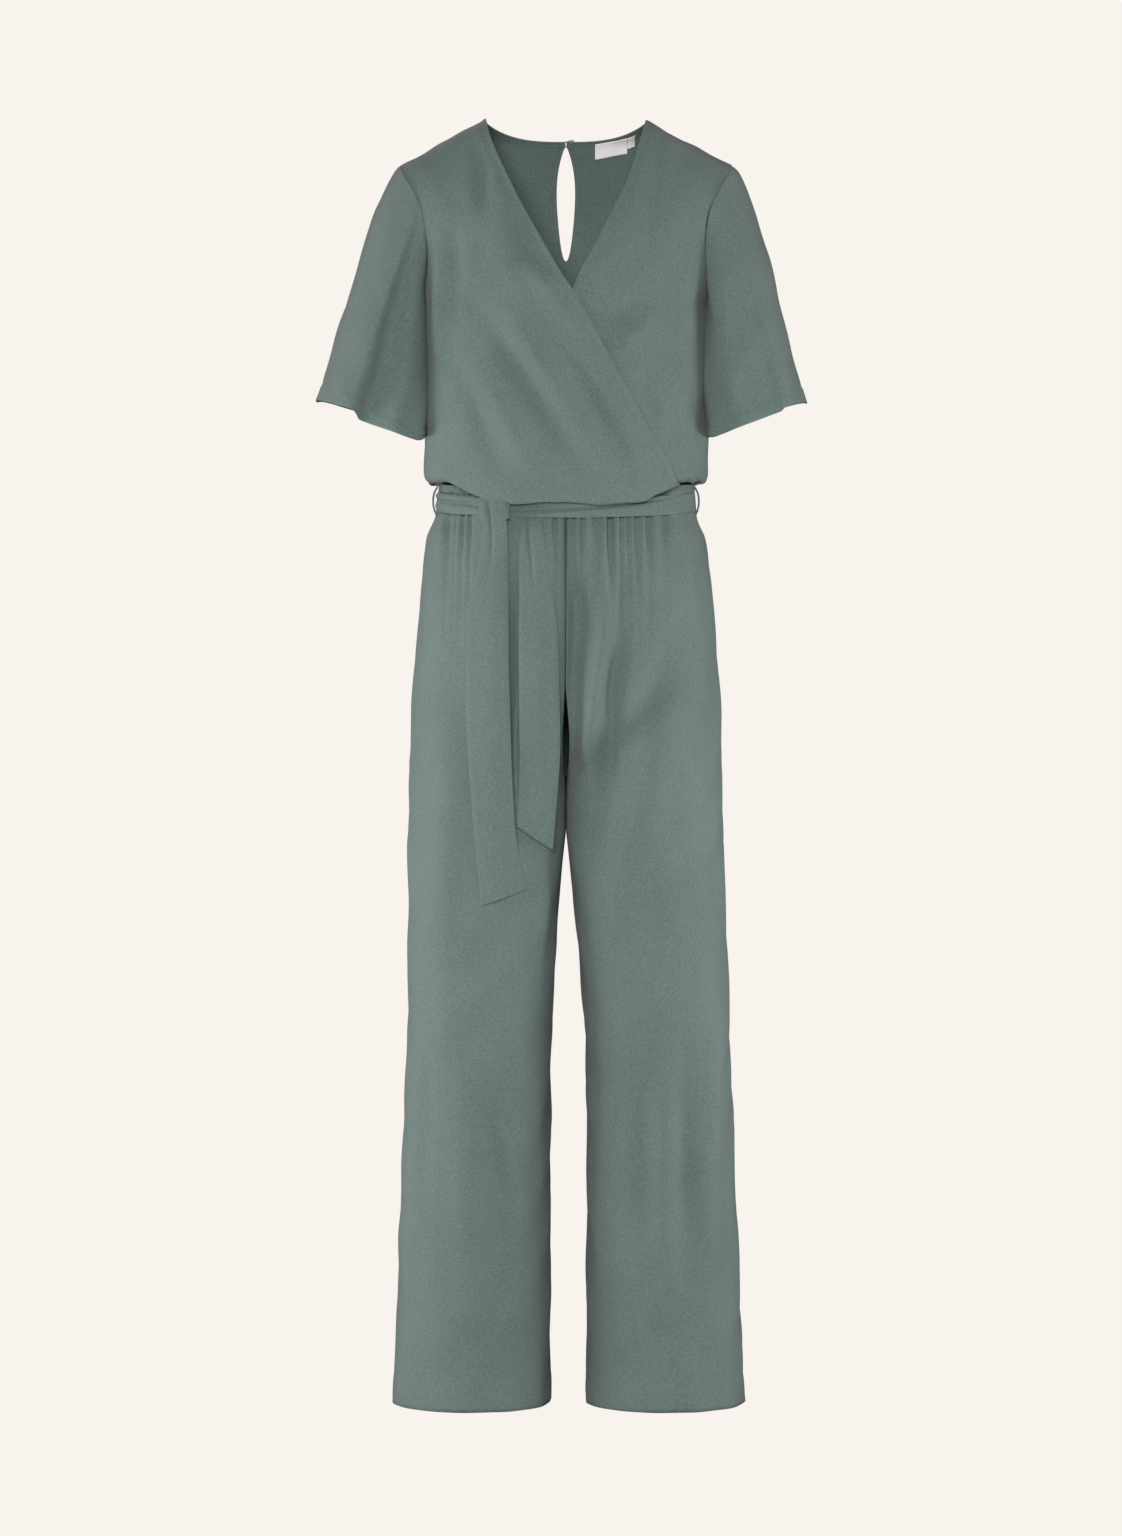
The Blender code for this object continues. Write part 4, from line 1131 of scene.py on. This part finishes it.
def sleeve_height(u, v, plain):
    depth, wide = SLEEVE_GROOVE
    hem_step = HEM_FOLD * rises(v, SLEEVE_STITCH_ROW, 0.01)
    return hem_step - depth * bump((v - SLEEVE_STITCH_ROW) / wide) + rumple(plain) * ease(v / 0.1)


def leg_height(front):
    def height(u, v, plain):
        drop = -plain[..., 2]
        depth, wide = LEG_GROOVE
        hem_at = HEM - LEG_HEM_STITCH
        hem_step = HEM_FOLD * rises(drop, hem_at, 0.002)
        groove = depth * bump((drop - hem_at) / wide)
        inner = bump((1 - u) / BACK_SEAM) * (1 - rises(drop, *INNER_SEAM_FADES) + rises(drop, *LOWER_STARTS))
        seams = SEAM_DEPTH * (bump(u / BACK_SEAM) + inner)
        return trouser_height(plain, front) + hem_step - groove - seams

    return height


def belt_height(creased):
    def height(u, v, plain):
        edge = -0.0012 * (bump(v / 0.07) + bump((1 - v) / 0.07))
        return BELT_WALL + SLACK + edge + creased(u, v)

    return height


def right_belt_creases(u, v):
    fold = -0.0036 * bump((v - 0.36 - 0.1 * u) / 0.08) * ease(u * 4 + 0.4)
    ridges = 0.0012 * bump((v - 0.7) / 0.16) + 0.0012 * bump((v - 0.16) / 0.12)
    return fold + ridges + 0.0006 * np.sin(u * 13 + v * 4)


def left_belt_creases(u, v):
    """Creases that fan out from the knot."""
    fan = 1 - ease(u / 0.34)
    diagonal = -0.0026 * bump((v - 0.84 + 1.05 * u) / 0.07) * ease(u * 8 + 0.3) * ease((0.82 - u) * 4)
    second = -0.0018 * bump((v - 0.6 + 1.8 * u) / 0.08) * fan
    third = -0.0016 * bump((v - 0.3 + 1.4 * u) / 0.08) * fan
    ridge = 0.0011 * bump((v - 0.62) / 0.2)
    return 1.6 * (diagonal + second + third) + ridge + 0.0004 * np.sin(u * 21 + v * 5)


def back_belt_creases(u, v):
    fold = -0.0018 * bump((v - 0.45 - 0.12 * np.sin(u * 7)) / 0.08)
    return fold + 0.0005 * np.sin(u * 37 + v * 5) + 0.0008 * bump((v - 0.75) / 0.15)


def tail_height(left, right, lifts, phase):
    top = left[0][0]
    length = (left[-1][0] + right[-1][0]) / 2 - top

    def height(u, v, plain):
        lift = smooth(lifts, top + length * v)
        edge = -0.0013 * (bump(u / 0.07) + bump((1 - u) / 0.07))
        cup = 0.0022 * bump((u - 0.55 - 0.1 * np.sin(v * 5 + phase)) / 0.26) * ease(v * 4)
        folded = -0.003 * bump((u - 0.34 - 0.5 * v) / 0.07) * (1 - ease(v / 0.3))
        return lift + edge + cup + folded + 0.0006 * np.sin(v * 17 + phase)

    return height


def knot_height(u, v, plain):
    edge = -0.0014 * (bump(u / 0.08) + bump((1 - u) / 0.08))
    first = -0.0022 * bump((u - 0.34 - 0.3 * v) / 0.06) * ease(v * 3)
    second = -0.0015 * bump((u - 0.72 + 0.1 * v) / 0.07)
    return edge + first + second


def on_band(u, v, plain):
    return GAP + 0.0005 * np.sin(np.pi * np.clip(v, 0, 1)) + 0 * u


def inside_neck(u, v, plain):
    return -0.0018 - 2 * LAYER + 0.00025 * np.sin(u * 7 + v * 3)


def make_button():
    """A flat round button with a raised rim, turned from its profile."""
    centre, out = back_place(BUTTON_X, BUTTON_DROP, 4 * LAYER + GAP + BUTTON_THICK / 2)
    shape = bmesh.new()
    verts = [shape.verts.new((r * BUTTON_RADIUS, 0, z * BUTTON_THICK)) for r, z in BUTTON_PROFILE]
    edges = [shape.edges.new(pair) for pair in zip(verts, verts[1:])]
    bmesh.ops.spin(
        shape, geom=verts + edges, cent=(0, 0, 0), axis=(0, 0, 1), angle=2 * math.pi, steps=32, use_merge=True
    )
    bmesh.ops.remove_doubles(shape, verts=shape.verts, dist=MERGE)
    bmesh.ops.recalc_face_normals(shape, faces=shape.faces)
    turn = out.to_track_quat("Z", "Y").to_matrix().to_4x4()
    bmesh.ops.transform(shape, matrix=Matrix.Translation(centre) @ turn, verts=shape.verts)
    mesh = bpy.data.meshes.new("round_button")
    shape.to_mesh(mesh)
    shape.free()
    return finish_piece("round_button", mesh, ["back_neck_button"], SHELL)


def make_bodice():
    back = cloth("back", "back_bodice", back_bodice, (140, 190), False, back_height,
                 hole=lambda u, v: abs(u - 0.5) < CENTRE_BAND and v < ROLL_STARTS * KEYHOLE_ROWS,
                 middle=(0.25, 0.6))  # fmt: skip
    right = cloth("front_right", "right_front", right_front, (110, 170), True,
                  right_front_height, middle=(0.3, 0.6))  # fmt: skip
    left = cloth("front_left", "left_front", left_front, (110, 170), True,
                 left_front_height, middle=(0.7, 0.6))  # fmt: skip

    v = np.linspace(0.02, 0.9, 500)
    rows = []
    far = EDGE_BAND * math.sqrt(1 + WRAP_LEAN**2)
    u = along_edge(right_front, v, far, 1, 0.03)
    rows.append(line_on(right_front, True, right_front_height, u, v))
    v = np.linspace(0.02, 0.66, 400)
    u = along_edge(left_front, v, far, 0, -0.03)
    rows.append(line_on(left_front, True, left_front_height, u, v))
    return rows


def make_bindings():
    for side, word in ((-1, "right"), (1, "left")):
        piece = cloth(f"neck_band_{word}", f"neck_binding_{word}", neck_binding(side), (60, 8), side < 0,
                      on_band, wall=BAND_CLOTH)  # fmt: skip
    around = cloth("opening_band", "keyhole_binding", keyhole_binding, (160, 8), False,
                   on_band, wall=BAND_CLOTH)  # fmt: skip


def make_sleeves():
    rows = []
    for side, word in ((-1, "right"), (1, "left")):
        piece = cloth(f"set_in_sleeve_{word}", f"sleeve_{word}", sleeve(side), (144, 70), side > 0,
                      sleeve_height, around=True)  # fmt: skip
        u = np.linspace(0, 0.9999, 600)
        v = np.full_like(u, SLEEVE_STITCH_ROW)
        rows.append(line_on(sleeve(side), side > 0, sleeve_height, u, v, True))
    return rows


def make_legs():
    rows = []
    for side, word in ((-1, "right"), (1, "left")):
        for front, face in ((True, "front"), (False, "back")):
            flip = (side < 0) if front else (side > 0)
            piece = cloth(f"trouser_{face}_{word}", f"{word}_leg_{face}", leg_panel(side, front), (100, 270),
                          flip, leg_height(front), middle=(0.5, 0.7))  # fmt: skip
            u = np.linspace(0.004, 0.996, 400)
            v = np.full_like(u, 1 - 0.5 * LEG_HEM_STITCH / (HEM - CROTCH))
            rows.append(line_on(leg_panel(side, front), flip, leg_height(front), u, v))
    return rows


def make_belt():
    right = cloth("belt_right", "belt_right_stretch", belt_stretch(*BELT_RIGHT), (90, 24), True,
                  belt_height(right_belt_creases), wall=BELT_CLOTH)  # fmt: skip
    left = cloth("belt_left", "belt_left_stretch", belt_stretch(*BELT_LEFT), (160, 24), True,
                 belt_height(left_belt_creases), wall=BELT_CLOTH)  # fmt: skip
    behind = cloth("belt_behind", "belt_back_stretch", belt_stretch(*BELT_BEHIND), (180, 24), True,
                   belt_height(back_belt_creases), wall=BELT_CLOTH)  # fmt: skip
    long_end = cloth("belt_end_long", "belt_long_end", belt_tail(LONG_LEFT, LONG_RIGHT), (40, 180), True,
                     tail_height(LONG_LEFT, LONG_RIGHT, LONG_LIFT, 0.4), wall=TAIL_CLOTH)  # fmt: skip
    short_end = cloth("belt_end_short", "belt_short_end", belt_tail(SHORT_LEFT, SHORT_RIGHT), (40, 160), True,
                      tail_height(SHORT_LEFT, SHORT_RIGHT, SHORT_LIFT, 2.0), wall=TAIL_CLOTH)  # fmt: skip
    knot = cloth("belt_tie", "belt_knot", knot_strip, (36, 48), True, knot_height, wall=BELT_CLOTH)


def make_trim():
    for side, word in ((-1, "right"), (1, "left")):
        path = [(side * x, 0, -drop) for x, drop in LOOP_PATH]
        thread_path(f"thread_loop_{word}", f"belt_loop_{word}", path, THREAD_LOOP)
    sewn = [back_place(x, drop, 3 * LAYER)[0] for x, drop in BUTTON_LOOP]
    thread_path("button_thread_loop", "back_neck_button_loop", sewn, THREAD_LOOP * FINE_LOOP)
    make_button()
    blank = cloth("blank_label", "neck_label", label_place(LABEL_START, LABEL_SIZE, LABEL_BELOW),
                  (36, 16), False, inside_neck, wall=LABEL_WALL, material=SATIN)  # fmt: skip
    after = LABEL_START + LABEL_SIZE[0] + GAP
    tab = cloth("blank_size_tab", "size_label", label_place(after, SIZE_LABEL, SIZE_BELOW),
                (10, 12), False, inside_neck, wall=LABEL_WALL, material=SATIN)  # fmt: skip


def glow(tree, socket):
    """Full strength to the camera's own rays, and a low one to those that light the jumpsuit."""
    ray = tree.nodes.new("ShaderNodeLightPath")
    seen = calculate(tree, "MULTIPLY_ADD", ray.outputs["Is Camera Ray"], 1 - AMBIENT)
    seen.node.inputs[2].default_value = AMBIENT
    tree.links.new(seen, socket)


def make_stage():
    """A pale floor, pale surroundings, the lights and the camera."""
    shape = bmesh.new()
    bmesh.ops.create_grid(shape, x_segments=1, y_segments=1, size=FLOOR_SIZE)
    bmesh.ops.translate(shape, verts=shape.verts, vec=(0, 0, -FLOOR_DROP))
    mesh = bpy.data.meshes.new("pale_floor")
    shape.to_mesh(mesh)
    shape.free()
    floor = bpy.data.objects.new("pale_floor", mesh)
    bpy.context.scene.collection.objects.link(floor)
    pale = bpy.data.materials.new("pale_floor")
    pale.use_nodes = True
    shader = pale.node_tree.nodes["Principled BSDF"]
    shader.inputs["Base Color"].default_value = (0, 0, 0, 1)
    shader.inputs["Specular IOR Level"].default_value = 0
    shader.inputs["Roughness"].default_value = 1
    shader.inputs["Emission Color"].default_value = BACKDROP
    glow(pale.node_tree, shader.inputs["Emission Strength"])
    mesh.materials.append(pale)

    world = bpy.data.worlds.new("pale_room")
    bpy.context.scene.world = world
    world.use_nodes = True
    light = world.node_tree.nodes["Background"]
    light.inputs["Color"].default_value = BACKDROP
    glow(world.node_tree, light.inputs["Strength"])

    for name, place, size, power in LIGHTS:
        lamp = bpy.data.lights.new(name, "AREA")
        lamp.shape = "RECTANGLE"
        lamp.size, lamp.size_y = size
        lamp.energy = power
        holder = bpy.data.objects.new(name, lamp)
        bpy.context.scene.collection.objects.link(holder)
        holder.location = place
        holder.rotation_euler = (Vector(LIT_MIDDLE) - Vector(place)).to_track_quat("-Z", "Y").to_euler()

    lens = bpy.data.cameras.new("camera")
    lens.lens = CAMERA_LENS
    camera = bpy.data.objects.new("camera", lens)
    camera.location = CAMERA_PLACE
    camera.rotation_euler = (math.pi / 2, 0, 0)
    bpy.context.scene.collection.objects.link(camera)
    bpy.context.scene.camera = camera
    bpy.context.scene.view_settings.view_transform = "Standard"


make_stage()
edge_rows = make_bodice()
make_bindings()
sleeve_rows = make_sleeves()
leg_rows = make_legs()
make_belt()
make_trim()
stitches("edge_stitches", edge_rows)
stitches("sleeve_hem_stitches", sleeve_rows)
stitches("leg_hem_stitches", leg_rows)
